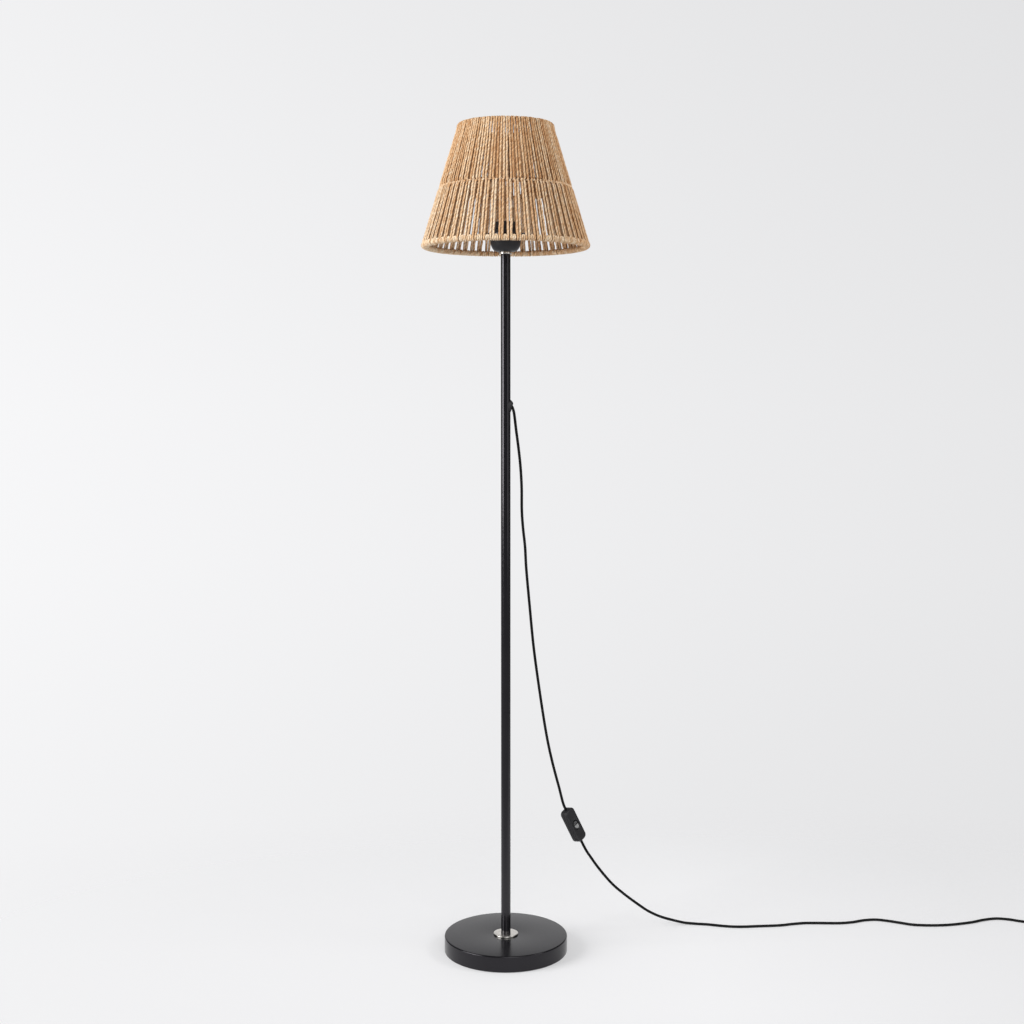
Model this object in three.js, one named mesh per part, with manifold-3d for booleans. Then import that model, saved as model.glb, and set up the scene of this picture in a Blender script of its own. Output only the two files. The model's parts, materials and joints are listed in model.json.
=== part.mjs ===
// A floor lamp: a weighted round foot, a slim pole in three lengths, an open lampholder and a
// tapered shade of twisted natural cord wound in two tiers on a wire frame.
// Millimetres, +Z up, front at -Y, origin at the middle of the foot's underside.
import * as THREE from "three";
import { mergeVertices } from "three/addons/utils/BufferGeometryUtils.js";
import Module from "manifold-3d";

const wasm = await Module();
wasm.setup();

// Driving dimensions
const lampHeight = 1500;
const footRadius = 113;
const footHeight = 29.9;
const poleRadius = 8.75;
const shadeHeight = 218.4;
const shadeTopRadius = 85.8;
const shadeBottomRadius = 150.4;
const cordDiameter = 5;

// Clearances
const fitGap = 0.3;
const seatGap = 0.2;
const overrun = 1;
const weldDistance = 1e-4;

// Foot
const feltThickness = 2;
const feltInset = 9;
const coverWall = 1.5;
const coverEdge = 2;
const skirtLift = 1.2;
const nutPocketRadius = 13;
const nutPocketDepth = 14;
const discRadius = 22.6;
const discThickness = 2.2;

// Threads and bushes
const threadRadius = 4.85;
const nippleBore = 3.3;
const bushLength = 14;
const nippleReach = 12;
const footNutWidth = 17;
const footNutHeight = 8;
const washerRadius = 10.5;
const washerThickness = 2;
const studTail = 1.6;
const thinNutWidth = 14;
const thinNutHeight = 3;

// Pole
const poleWall = 1;
const poleSections = 3;
const collarRadius = 11;
const collarHeight = 4.4;

// Lampholder
const holderDrop = 4.6;
const cupHeight = 26.5;
const cupRadius = 27.6;
const cupFloorRadius = 15.5;
const cupCurveHeight = 21;
const cupWall = 1.8;
const sleeveRadius = 19.6;
const sleeveHeight = 23.2;
const sleeveWall = 2.4;
const sleeveFlange = 2;
const sleeveLip = 2.5;
const sleeveMouthRadius = 14.4;
const coreHeight = 8;
const shellRadius = 13.9;
const shellWall = 0.5;
const contactWidth = 6;
const contactThickness = 0.6;
const contactRise = 3.4;
const contactReach = 9;
const terminalRadius = 2;
const terminalLength = 5;
const terminalOffset = 8;
const clampWall = 3.7;
const clampHeight = 7;
const clampLipReach = 1.4;
const clampLip = 1.8;

// Shade frame
const fitterRadius = 31;
const fitterThickness = 2.2;
const armRadius = 2;
const armCount = 3;
const armDrop = 18.5;
const firstArmTurn = THREE.MathUtils.degToRad(-34);
const ringWireRadius = 1.5;
const strutRadius = 1.25;

// Shade winding
const pairCount = 61;
const frontTurn = THREE.MathUtils.degToRad(-90);
const windingThickness = 4.6;
const pairWidthTop = 7.4;
const pairWidthBottom = 10.2;
const grooveDepth = 1.8;
const topRimHeight = 9.2;
const bottomRimHeight = 10.2;
const rimRounding = 3.2;
const rimLip = 2;
const middleRingDrop = 112;
const middleBand = 3.2;

// Grommet where the cord leaves the pole
const exitDrop = 267;
const exitLean = THREE.MathUtils.degToRad(42);
const exitTurn = THREE.MathUtils.degToRad(-10);
const grommetDrop = 2.7;
const grommetHeight = 22.6;
const grommetWidth = 13.2;
const grommetThickness = 6.6;
const grommetProud = 4;
const grommetRounding = 1.6;
const grommetTilt = THREE.MathUtils.degToRad(7);
const neckHeight = 12.8;
const neckWidth = 7.8;
const neckInside = 0.6;
const boreReach = 14;
const boreRun = 23;
const boreGap = 0.4;
const cableBend = 20;

// Switch on the cord
const switchLength = 67;
const switchWidth = 25;
const switchThickness = 16.5;
const switchCorner = 8;
const switchRounding = 3;
const switchWall = 1.8;
const rockerLength = 16;
const rockerWidth = 12.4;
const rockerRise = 1.3;
const rockerHollow = 1.2;
const rockerPivotDepth = 3.3;
const rockerBelly = 3;
const rockerTravel = THREE.MathUtils.degToRad(14);
const rockerOpeningLength = 19.2;
const rockerOpeningWidth = 15;
const rockerPinRadius = 1;
const pinBossWidth = 2.2;
const pinBossReach = 2.2;
const stripLength = 26;
const stripWidth = 6;
const stripThickness = 1;
const stripPostLength = 5;
const screwRadius = 1.4;
const screwHeadRadius = 2.6;
const screwHeadHeight = 1.8;
const screwBossRadius = 2.9;
const screwReach = 12.2;
const screwAlong = 21;
const screwAcross = 7.4;
const leadLength = 17;

// Where the switch hangs on the cord
const switchPlace = new THREE.Vector3(125.9, 46.3, 222);
const switchHeading = new THREE.Vector3(30.2, 12.7, -65);
const switchRoll = THREE.MathUtils.degToRad(-45);

// Plug
const plugWidth = 34;
const plugNeckWidth = 15;
const plugLength = 34;
const plugRounding = 2.4;
const plugReliefLength = 26;
const plugReliefRoot = 6.4;
const plugReliefWall = 1.2;
const pinRadius = 2;
const pinLength = 19;
const pinSpacing = 18.6;
const pinSeat = 10;

// Coil of spare cord
const coilTurns = 3.25;
const coilMeanRadius = 27.5;
const coilGap = 0.5;
const coilTail = 30;
const coilCentre = new THREE.Vector3(1050, 98, 0.1);
const coilSideCount = 6;
const coilStepsPerTurn = 24;

// Facets
const bigSides = 40;
const roundSides = 24;
const smallSides = 12;
const boreSides = 16;
const boreSteps = 14;
const arcSteps = 3;
const wireSides = 5;
const barSides = 8;
const cordSides = 8;
const upperCordSteps = 34;
const lowerCordSteps = 46;
const cableSteps = 18;
const roundingSteps = 2;
const cornerSteps = 3;
const hexagonSides = 6;
const crowdingShare = 0.13;

// Finishes
const finish = (color, roughness, metalness) =>
  new THREE.MeshStandardMaterial({ color, roughness, metalness });
const blackPaint = () => finish(0x222124, 0.45, 0.2);
const blackPlastic = () => finish(0x2b2b2d, 0.5, 0);
const cordBlack = () => finish(0x111112, 0.6, 0);
const nickel = () => finish(0xd5d2cc, 0.3, 1);
const zincSteel = () => finish(0xa3a5a8, 0.4, 1);
const brass = () => finish(0xc9a34e, 0.35, 1);
const castStone = () => finish(0x8b8985, 0.9, 0);
const felt = () => finish(0x37363a, 0.95, 0);
const ceramic = () => finish(0xe8e4da, 0.5, 0);
const rockerGrey = () => finish(0x7b7b79, 0.5, 0);
const naturalCord = () => finish(0xc79b6b, 0.85, 0);

const lamp = new THREE.Group();

// Adds one named piece to the lamp or to a group in it
function piece(name, geometry, material, parent = lamp) {
  const mesh = new THREE.Mesh(geometry, material);
  mesh.name = name;
  parent.add(mesh);
  return mesh;
}

// Solids and booleans
function solidOf(geometry) {
  const bare = geometry.clone();
  bare.deleteAttribute("normal");
  bare.deleteAttribute("uv");
  const merged = mergeVertices(bare, weldDistance);
  return new wasm.Manifold(
    new wasm.Mesh({
      numProp: 3,
      vertProperties: new Float32Array(merged.attributes.position.array),
      triVerts: new Uint32Array(merged.index.array),
    }),
  );
}

function geometryOf(solid) {
  const mesh = solid.getMesh();
  const geometry = new THREE.BufferGeometry();
  geometry.setAttribute("position", new THREE.BufferAttribute(new Float32Array(mesh.vertProperties), 3));
  geometry.setIndex(new THREE.BufferAttribute(new Uint32Array(mesh.triVerts), 1));
  const flat = geometry.toNonIndexed();
  flat.computeVertexNormals();
  return flat;
}

const cut = (body, ...tools) =>
  geometryOf(tools.reduce((left, tool) => left.subtract(solidOf(tool)), solidOf(body)));
const join = (body, ...others) =>
  geometryOf(others.reduce((sum, other) => sum.add(solidOf(other)), solidOf(body)));

// Turned pieces: a profile of [radius, height] pairs that closes on itself, counterclockwise
function turned(profile, sides) {
  const points = [...profile, profile[0]].map(([radius, height]) => new THREE.Vector2(radius, height));
  return new THREE.LatheGeometry(points, sides).rotateX(Math.PI / 2);
}

const pipe = (inner, outer, bottom, top, sides) =>
  turned(
    [
      [inner, bottom],
      [outer, bottom],
      [outer, top],
      [inner, top],
    ],
    sides,
  );

function rod(radius, bottom, top, sides) {
  const length = top - bottom;
  return new THREE.CylinderGeometry(radius, radius, length, sides)
    .rotateX(Math.PI / 2)
    .translate(0, 0, bottom + length / 2);
}

// A ring of round wire lying level
function wireRing({ radius, height }) {
  return new THREE.TorusGeometry(radius, ringWireRadius, wireSides, bigSides).translate(0, 0, height);
}

// A hexagon nut with a clear hole, from its width across flats
function nut(width, bottom, top) {
  const hexagon = rod(width / 2 / Math.cos(Math.PI / hexagonSides), bottom, top, hexagonSides);
  return cut(hexagon, rod(threadRadius + fitGap, bottom - overrun, top + overrun, smallSides));
}

// A straight round bar between two points
function barBetween(from, to, radius, sides) {
  const along = new THREE.Vector3().subVectors(to, from);
  const turn = new THREE.Quaternion().setFromUnitVectors(
    new THREE.Vector3(0, 1, 0),
    along.clone().normalize(),
  );
  return new THREE.CylinderGeometry(radius, radius, along.length(), sides)
    .applyQuaternion(turn)
    .translate(...from.clone().add(to).multiplyScalar(1 / 2).toArray());
}

// A round tube along a curve, closed at both ends
function cordAlong(curve, radius, sides, steps) {
  const corners = Array.from({ length: sides }, (_, corner) => {
    const angle = (corner / sides) * Math.PI * 2;
    return new THREE.Vector2(radius * Math.cos(angle), radius * Math.sin(angle));
  });
  return new THREE.ExtrudeGeometry(new THREE.Shape(corners), {
    steps,
    extrudePath: curve,
    bevelEnabled: false,
  });
}

const smoothCurve = (points) => new THREE.CatmullRomCurve3(points, false, "centripetal");

// The same path, with its cross-sections where a function of the step places them along it
class PacedPath extends THREE.Curve {
  constructor(path, shareAt) {
    super();
    this.path = path;
    this.shareAt = shareAt;
  }

  getPointAt(step, target) {
    return this.path.getPointAt(this.shareAt(step), target);
  }

  getTangentAt(step, target) {
    return this.path.getTangentAt(this.shareAt(step), target);
  }
}

// Sections crowded towards the start, where the cord bends most
const crowded = (path) =>
  new PacedPath(path, (step) => step * (crowdingShare + (1 - crowdingShare) * step));

// Only the first stretch of a path
function firstStretch(path, length) {
  const wholeShare = Math.min(1, length / path.getLength());
  return new PacedPath(path, (step) => step * wholeShare);
}

// Heights that the pieces share, from the floor up
const weightBottom = feltThickness + seatGap;
const weightTop = footHeight - coverWall - seatGap;
const discBottom = footHeight + seatGap;
const poleBottom = discBottom + discThickness + seatGap;
const shadeBottom = lampHeight - shadeHeight;
const cupBottom = shadeBottom - holderDrop;
const collarBottom = cupBottom - seatGap - collarHeight;
const poleTop = collarBottom - seatGap;
const cupTop = cupBottom + cupHeight;
const flangeBottom = cupTop + seatGap;
const flangeTop = flangeBottom + sleeveFlange;
const sleeveTop = flangeTop + sleeveHeight;
const fitterBottom = flangeTop + fitGap;
const clampBottom = fitterBottom + fitterThickness + fitGap;
const poleBore = poleRadius - poleWall;
const cordRadius = cordDiameter / 2;
const threadHole = threadRadius + fitGap;

// Foot: felt pad, cast weight with a pocket for the nut, pressed cover, stud, washer, nut and disc
function makeFoot() {
  const coverBore = footRadius - coverWall;
  const weightRadius = coverBore - fitGap;
  const innerEdge = coverEdge - coverWall;
  const feltPad = pipe(nutPocketRadius + feltInset, weightRadius - feltInset, 0, feltThickness, roundSides);
  piece("base_felt", feltPad, felt());

  const pocketTop = weightBottom + nutPocketDepth;
  piece(
    "base_weight",
    turned(
      [
        [nutPocketRadius, weightBottom],
        [weightRadius - coverEdge, weightBottom],
        [weightRadius, weightBottom + coverEdge],
        [weightRadius, weightTop - coverEdge],
        [weightRadius - coverEdge, weightTop],
        [threadHole, weightTop],
        [threadHole, pocketTop],
        [nutPocketRadius, pocketTop],
      ],
      bigSides,
    ),
    castStone(),
  );

  const corner = (radius) =>
    Array.from({ length: arcSteps + 1 }, (_, step) => {
      const angle = ((step / arcSteps) * Math.PI) / 2;
      return [
        footRadius - coverEdge + radius * Math.cos(angle),
        footHeight - coverEdge + radius * Math.sin(angle),
      ];
    });
  piece(
    "base_cover",
    turned(
      [
        [coverBore, skirtLift],
        [footRadius, skirtLift],
        ...corner(coverEdge),
        [threadHole, footHeight],
        [threadHole, footHeight - coverWall],
        ...corner(innerEdge).reverse(),
      ],
      bigSides,
    ),
    blackPaint(),
  );

  const washerTop = pocketTop - seatGap;
  const nutTop = washerTop - washerThickness - seatGap;
  const nutBottom = nutTop - footNutHeight;
  const washer = pipe(threadHole, washerRadius, washerTop - washerThickness, washerTop, smallSides);
  piece("base_washer", washer, zincSteel());
  piece("base_nut", nut(footNutWidth, nutBottom, nutTop), zincSteel());
  const stud = rod(threadRadius, nutBottom - studTail, poleBottom + nippleReach, smallSides);
  piece("base_stud", stud, zincSteel());
  const disc = pipe(threadHole, discRadius, discBottom, discBottom + discThickness, bigSides);
  piece("foot_disc", disc, nickel());
}

// The cord leaves the pole along a line that leans down and away from it. These are worked out with
// X pointing out of the pole, and turned to the cord's side afterwards
const exitHeight = poleTop - exitDrop;
const wallMiddle = poleRadius - poleWall / 2;
const upAxis = new THREE.Vector3(0, 0, 1);
const onExitLine = (distance) =>
  new THREE.Vector3(
    wallMiddle + distance * Math.sin(exitLean),
    0,
    exitHeight - distance * Math.cos(exitLean),
  );
const onExitAxis = (distance) => onExitLine(distance).applyAxisAngle(upAxis, exitTurn);
const outletPoints = () => [onExitAxis(0), onExitAxis(cordRadius), onExitAxis(cordDiameter)];

// An upright oval bar pointing out of the pole, from one distance to another
function ovalBar(width, height, from, to, rounding) {
  const outline = new THREE.Shape();
  outline.absellipse(0, 0, width / 2 - rounding, height / 2 - rounding, 0, 2 * Math.PI);
  const outward = new THREE.Matrix4().makeBasis(
    new THREE.Vector3(0, 1, 0),
    new THREE.Vector3(0, 0, 1),
    new THREE.Vector3(1, 0, 0),
  );
  return new THREE.ExtrudeGeometry(outline, {
    depth: to - from - 2 * rounding,
    bevelEnabled: rounding > 0,
    bevelThickness: rounding,
    bevelSize: rounding,
    bevelSegments: roundingSteps,
    curveSegments: smallSides / 2,
  })
    .translate(0, 0, from + rounding)
    .applyMatrix4(outward);
}

// Pole: tubes with a bush pressed into each end, nipples across the joints, the collar on top
function makePole() {
  const sectionPitch = (poleTop + seatGap - poleBottom) / poleSections;
  const names = ["pole_lower", "pole_middle", "pole_upper"];
  const cordHole = ovalBar(neckWidth + 2 * fitGap, neckHeight + 2 * fitGap, 0, poleRadius + overrun, 0)
    .translate(0, 0, exitHeight)
    .rotateZ(exitTurn);
  names.forEach((name, index) => {
    const bottom = poleBottom + index * sectionPitch;
    const top = bottom + sectionPitch - seatGap;
    const tube = pipe(poleBore, poleRadius, bottom, top, roundSides);
    const isUpper = index === poleSections - 1;
    piece(name, isUpper ? cut(tube, cordHole) : tube, blackPaint());
    const bush = (low) => pipe(threadHole, poleBore - fitGap, low, low + bushLength, smallSides);
    piece(`pole_bush_${2 * index + 1}`, bush(bottom), zincSteel());
    piece(`pole_bush_${2 * index + 2}`, bush(top - bushLength), zincSteel());
    if (!isUpper) {
      const middle = top + seatGap / 2;
      const nipple = pipe(nippleBore, threadRadius, middle - nippleReach, middle + nippleReach, smallSides);
      piece(`joint_nipple_${index + 1}`, nipple, zincSteel());
    }
  });
  const collar = pipe(threadHole, collarRadius, collarBottom, collarBottom + collarHeight, roundSides);
  piece("top_collar", collar, nickel());
  const nippleTop = cupBottom + cupWall + seatGap + thinNutHeight + studTail;
  const topNipple = pipe(nippleBore, threadRadius, poleTop - nippleReach, nippleTop, smallSides);
  piece("top_nipple", topNipple, zincSteel());
}

// Grommet with a slanted bore, and the cable that runs from it up the pole to the lampholder
function makeCordOutlet() {
  const face = poleRadius + grommetProud;
  const flangeHeight = exitHeight - grommetDrop;
  const poleClear = rod(
    poleRadius + fitGap,
    flangeHeight - grommetHeight,
    flangeHeight + grommetHeight,
    roundSides,
  );
  const flange = ovalBar(grommetWidth, grommetHeight, face - grommetThickness, face, grommetRounding)
    .translate(-poleRadius, 0, 0)
    .rotateY(grommetTilt)
    .translate(poleRadius, 0, flangeHeight)
    .rotateZ(exitTurn);
  const neck = ovalBar(
    neckWidth,
    neckHeight,
    poleBore - neckInside,
    poleRadius + grommetProud / 2,
    0,
  )
    .translate(0, 0, exitHeight)
    .rotateZ(exitTurn);
  const cordStart = toVectors(upperRoute.slice(0, 2));
  const borePath = smoothCurve([onExitAxis(-boreReach), ...outletPoints(), ...cordStart]);
  const boreStretch = firstStretch(borePath, boreReach + boreRun);
  const bore = cordAlong(boreStretch, cordRadius + boreGap, boreSides, boreSteps);
  const grommet = solidOf(flange).subtract(solidOf(poleClear)).add(solidOf(neck)).subtract(solidOf(bore));
  piece("cord_grommet", geometryOf(grommet), blackPlastic());

  const bendReach = cableBend * (1 - Math.cos(exitLean));
  const bendEnd = onExitLine((bendReach - wallMiddle) / Math.sin(exitLean));
  const bendStart = bendEnd.z + cableBend * Math.sin(exitLean);
  const cableTop = cupBottom + cupWall + thinNutHeight + studTail + terminalLength;
  const bend = Array.from({ length: arcSteps }, (_, step) => {
    const angle = exitLean * (1 - step / arcSteps);
    return new THREE.Vector3(
      cableBend * (1 - Math.cos(angle)),
      0,
      bendStart - cableBend * Math.sin(angle),
    ).applyAxisAngle(upAxis, exitTurn);
  });
  const cable = smoothCurve([
    onExitAxis(-fitGap),
    ...bend,
    new THREE.Vector3(0, 0, bendStart),
    new THREE.Vector3(0, 0, bendStart + cableBend),
    new THREE.Vector3(0, 0, (bendStart + cableTop) / 2),
    new THREE.Vector3(0, 0, cableTop),
  ]);
  const inside = cordAlong(crowded(cable), cordRadius, cordSides, cableSteps);
  piece("pole_cable", inside, cordBlack());
}

// Lampholder: cup, thin nut, sleeve, core, terminal screws, screw shell, centre contact, clamp ring
function makeLampholder() {
  const wall = (inset) =>
    Array.from({ length: arcSteps + 1 }, (_, step) => {
      const angle = ((step / arcSteps) * Math.PI) / 2;
      return [
        cupFloorRadius + (cupRadius - cupFloorRadius - inset) * Math.sin(angle),
        cupBottom + cupCurveHeight - (cupCurveHeight - inset) * Math.cos(angle),
      ];
    });
  piece(
    "holder_cup",
    turned(
      [
        [threadHole, cupBottom],
        ...wall(0),
        [cupRadius, cupTop],
        [cupRadius - cupWall, cupTop],
        ...wall(cupWall).reverse(),
        [threadHole, cupBottom + cupWall],
      ],
      roundSides,
    ),
    blackPlastic(),
  );
  const nutBottom = cupBottom + cupWall + seatGap;
  piece("holder_nut", nut(thinNutWidth, nutBottom, nutBottom + thinNutHeight), zincSteel());

  const sleeveBore = sleeveRadius - sleeveWall;
  const skirtBottom = cupBottom + cupCurveHeight + fitGap;
  const skirtRadius = cupRadius - cupWall - fitGap;
  piece(
    "holder_sleeve",
    turned(
      [
        [sleeveBore, skirtBottom],
        [skirtRadius, skirtBottom],
        [skirtRadius, flangeBottom],
        [cupRadius, flangeBottom],
        [cupRadius, flangeTop],
        [sleeveRadius, flangeTop],
        [sleeveRadius, sleeveTop],
        [sleeveMouthRadius, sleeveTop],
        [sleeveMouthRadius, sleeveTop - sleeveLip],
        [sleeveBore, sleeveTop - sleeveLip],
      ],
      roundSides,
    ),
    blackPlastic(),
  );

  const coreTop = skirtBottom + coreHeight;
  piece("holder_core", rod(sleeveBore - fitGap, skirtBottom, coreTop, roundSides), ceramic());
  const shellTop = sleeveTop - sleeveLip - fitGap;
  const shell = pipe(shellRadius - shellWall, shellRadius, coreTop + seatGap, shellTop, roundSides);
  piece("holder_screw_shell", shell, brass());
  for (const [number, side] of [
    [1, -1],
    [2, 1],
  ]) {
    const screwTop = skirtBottom - seatGap;
    const screw = rod(terminalRadius, screwTop - terminalLength, screwTop, smallSides);
    piece(`holder_terminal_${number}`, screw.translate(side * terminalOffset, 0, 0), brass());
  }

  const tongue = new THREE.Shape([
    new THREE.Vector2(-contactReach, 0),
    new THREE.Vector2(-contactReach + contactRise, 0),
    new THREE.Vector2(0, contactRise - contactThickness),
    new THREE.Vector2(contactReach / 2, contactRise - contactThickness),
    new THREE.Vector2(contactReach / 2, contactRise),
    new THREE.Vector2(-contactThickness, contactRise),
    new THREE.Vector2(-contactReach + contactRise - contactThickness, contactThickness),
    new THREE.Vector2(-contactReach, contactThickness),
  ]);
  const contact = new THREE.ExtrudeGeometry(tongue, { depth: contactWidth, bevelEnabled: false })
    .translate(0, 0, -contactWidth / 2)
    .rotateX(Math.PI / 2)
    .translate(0, 0, coreTop + seatGap);
  piece("holder_contact", contact, brass());

  const clampBore = sleeveRadius + fitGap;
  const clampRadius = clampBore + clampWall;
  const clampLipRadius = clampRadius + clampLipReach;
  const clampTop = clampBottom + clampHeight;
  piece(
    "clamp_ring",
    turned(
      [
        [clampBore, clampBottom],
        [clampLipRadius, clampBottom],
        [clampLipRadius, clampBottom + clampLip],
        [clampRadius, clampBottom + clampLip],
        [clampRadius, clampTop],
        [clampBore, clampTop],
      ],
      roundSides,
    ),
    blackPlastic(),
  );
}

// The shade's outer face is a cone through the widest points of its two rims
const topCrestHeight = lampHeight - topRimHeight / 2;
const bottomCrestHeight = shadeBottom + bottomRimHeight / 2;
const shadeSlope = (shadeBottomRadius - shadeTopRadius) / (topCrestHeight - bottomCrestHeight);
const crest = (height) => shadeTopRadius + shadeSlope * (topCrestHeight - height);
const middleHeight = lampHeight - middleRingDrop;

// Each wire ring lies against the winding's inner face
const ringInset = windingThickness + fitGap + ringWireRadius;
const topRing = {
  radius: crest(lampHeight - topRimHeight) - ringInset,
  height: lampHeight - rimLip - fitGap - ringWireRadius,
};
const middleRing = { radius: crest(middleHeight) - ringInset, height: middleHeight };
const bottomRing = {
  radius: crest(shadeBottom + bottomRimHeight) - ringInset,
  height: shadeBottom + rimLip + fitGap + ringWireRadius,
};

// Fitter ring with its arms, three wire rings, and struts welded inside the rings
function makeShadeFrame() {
  piece("shade_ring_top", wireRing(topRing), blackPaint());
  piece("shade_ring_middle", wireRing(middleRing), blackPaint());
  piece("shade_ring_bottom", wireRing(bottomRing), blackPaint());

  const slope = (bottomRing.radius - topRing.radius) / (topRing.height - bottomRing.height);
  const stretch = Math.hypot(1, slope);
  const strutInset = (ringWireRadius + fitGap + strutRadius) * stretch;
  const strutAt = (height) => topRing.radius - strutInset + slope * (topRing.height - height);
  const armStart = fitterRadius - armRadius;
  const armHeight = fitterBottom + fitterThickness / 2;
  const armEndHeight = armHeight - armDrop;
  const armFall = armDrop / (strutAt(armEndHeight) - armStart);
  const armEnd =
    strutAt(armEndHeight) - strutRadius * stretch - armRadius * (slope + armFall) - fitGap;
  const fitterBore = sleeveRadius + fitGap + seatGap;
  let spider = pipe(fitterBore, fitterRadius, fitterBottom, fitterBottom + fitterThickness, roundSides);
  for (let index = 0; index < armCount; index += 1) {
    const angle = firstArmTurn + (index / armCount) * Math.PI * 2;
    const out = (radius, height) =>
      new THREE.Vector3(radius * Math.cos(angle), radius * Math.sin(angle), height);
    const arm = barBetween(
      out(armStart, armHeight),
      out(armEnd, armEndHeight),
      armRadius,
      barSides,
    );
    spider = join(spider, arm);
    const strut = barBetween(
      out(strutAt(topRing.height), topRing.height),
      out(strutAt(bottomRing.height), bottomRing.height),
      strutRadius,
      barSides,
    );
    piece(`shade_strut_${index + 1}`, strut, blackPaint());
  }
  piece("shade_spider", spider, blackPaint());
}

// A pair of strands has three stations across it: an edge, the groove between the two strands and
// the other edge
const stationShares = [-1, 0, 1];
const dipShares = [0, 1, 0];
const everyStation = [0, 1, 2];
const edgesOnly = [0, 2];

function pairWidth(height) {
  const share = (lampHeight - height) / shadeHeight;
  return pairWidthTop + share * (pairWidthBottom - pairWidthTop);
}

// One tier of the winding as a closed lattice. rows go from the rim's lip round the outside, down or up
// to the middle and back along the inside, and the strands run between rows 2 and 3, and 6 and 5.
function windingTier(rows, phase) {
  const positions = [];
  const faces = [];
  const vertexOf = new Map();
  const vertex = (row, pair, station) => {
    const key = `${row} ${pair % pairCount} ${station}`;
    if (!vertexOf.has(key)) {
      const { radius, height, dip } = rows[row];
      const half = pairWidth(height) / 2 / radius;
      const middle = frontTurn + ((pair + phase) / pairCount) * Math.PI * 2;
      const angle = middle + stationShares[station] * half;
      const out = radius - dip * dipShares[station];
      vertexOf.set(key, positions.length / 3);
      positions.push(out * Math.cos(angle), out * Math.sin(angle), height);
    }
    return vertexOf.get(key);
  };
  const place = ([pair, station]) => pair + stationShares[station] / 4;
  const zip = (rowA, listA, rowB, listB) => {
    let a = 0;
    let b = 0;
    const at = (row, [pair, station]) => vertex(row, pair, station);
    while (a < listA.length - 1 || b < listB.length - 1) {
      const nextA = a < listA.length - 1 ? place(listA[a + 1]) : Infinity;
      const nextB = b < listB.length - 1 ? place(listB[b + 1]) : Infinity;
      if (nextA <= nextB) {
        faces.push([at(rowA, listA[a]), at(rowB, listB[b]), at(rowA, listA[a + 1])]);
        a += 1;
      } else {
        faces.push([at(rowA, listA[a]), at(rowB, listB[b]), at(rowB, listB[b + 1])]);
        b += 1;
      }
    }
  };
  for (let pair = 0; pair < pairCount; pair += 1) {
    const acrossPair = (row) => rows[row].stations.map((station) => [pair, station]);
    const toNext = (row) => [...acrossPair(row), [pair + 1, 0]];
    rows.forEach((_, row) => {
      const next = (row + 1) % rows.length;
      const isStrand = row === outerStrandRow || row === innerStrandRow;
      if (isStrand) zip(row, acrossPair(row), next, acrossPair(next));
      else zip(row, toNext(row), next, toNext(next));
    });
    const ladder = (near, far, station) => [
      vertex(near, pair, station),
      vertex(near + 1, pair, station),
      vertex(far, pair, station),
      vertex(far + 1, pair, station),
    ];
    const quad = (a, b, c, d) => faces.push([a, b, c], [a, c, d]);
    const [o2, o3, i3, i2] = ladder(outerStrandRow, innerStrandRow, 0);
    quad(o2, i2, i3, o3);
    const [p2, p3, j3, j2] = ladder(outerStrandRow, innerStrandRow, 2);
    quad(p2, p3, j3, j2);
    const q2 = vertex(outerStrandRow, pair + 1, 0);
    const q3 = vertex(outerStrandRow + 1, pair + 1, 0);
    const k3 = vertex(innerStrandRow, pair + 1, 0);
    const k2 = vertex(innerStrandRow + 1, pair + 1, 0);
    quad(p2, j2, k2, q2);
    quad(p3, q3, k3, j3);
  }
  const geometry = new THREE.BufferGeometry();
  geometry.setAttribute("position", new THREE.Float32BufferAttribute(positions, 3));
  geometry.setIndex(faces.flat());
  return geometry;
}

const outerStrandRow = 2;
const innerStrandRow = 6;

// Both tiers: the upper one between the top and middle rings, the lower one between the middle and
// bottom rings, half a pair out of step with each other
function makeWinding() {
  const inner = (height) => crest(height) - windingThickness;
  const tier = (rimEnd, crestHeight, rimStart, bandStart, bandEnd, lipSide) => {
    const rimInner = inner(rimStart);
    const lipInner = rimInner - fitGap - 2 * ringWireRadius;
    const lipEnd = rimEnd + lipSide * rimLip;
    const row = (radius, height, dip, stations) => ({ radius, height, dip, stations });
    return [
      row(crest(crestHeight) - rimRounding, rimEnd, 0, edgesOnly),
      row(crest(crestHeight), crestHeight, 0, edgesOnly),
      row(crest(rimStart), rimStart, grooveDepth, everyStation),
      row(crest(bandStart), bandStart, grooveDepth, everyStation),
      row(crest(bandEnd), bandEnd, 0, edgesOnly),
      row(inner(bandEnd), bandEnd, 0, edgesOnly),
      row(inner(bandStart), bandStart, 0, edgesOnly),
      row(rimInner, rimStart, 0, edgesOnly),
      row(rimInner, lipEnd, 0, edgesOnly),
      row(lipInner, lipEnd, 0, edgesOnly),
      row(lipInner, rimEnd, 0, edgesOnly),
    ];
  };
  const upperRows = tier(
    lampHeight,
    topCrestHeight,
    lampHeight - topRimHeight,
    middleHeight + middleBand,
    middleHeight + seatGap / 2,
    -1,
  );
  const lowerRows = tier(
    shadeBottom,
    bottomCrestHeight,
    shadeBottom + bottomRimHeight,
    middleHeight - middleBand,
    middleHeight - seatGap / 2,
    1,
  );
  const upper = windingTier(upperRows, 0);
  const lower = windingTier(lowerRows, 1 / 2);
  lower.index.array.reverse();
  piece("winding_upper", upper, naturalCord());
  piece("winding_lower", lower, naturalCord());
}

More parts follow.
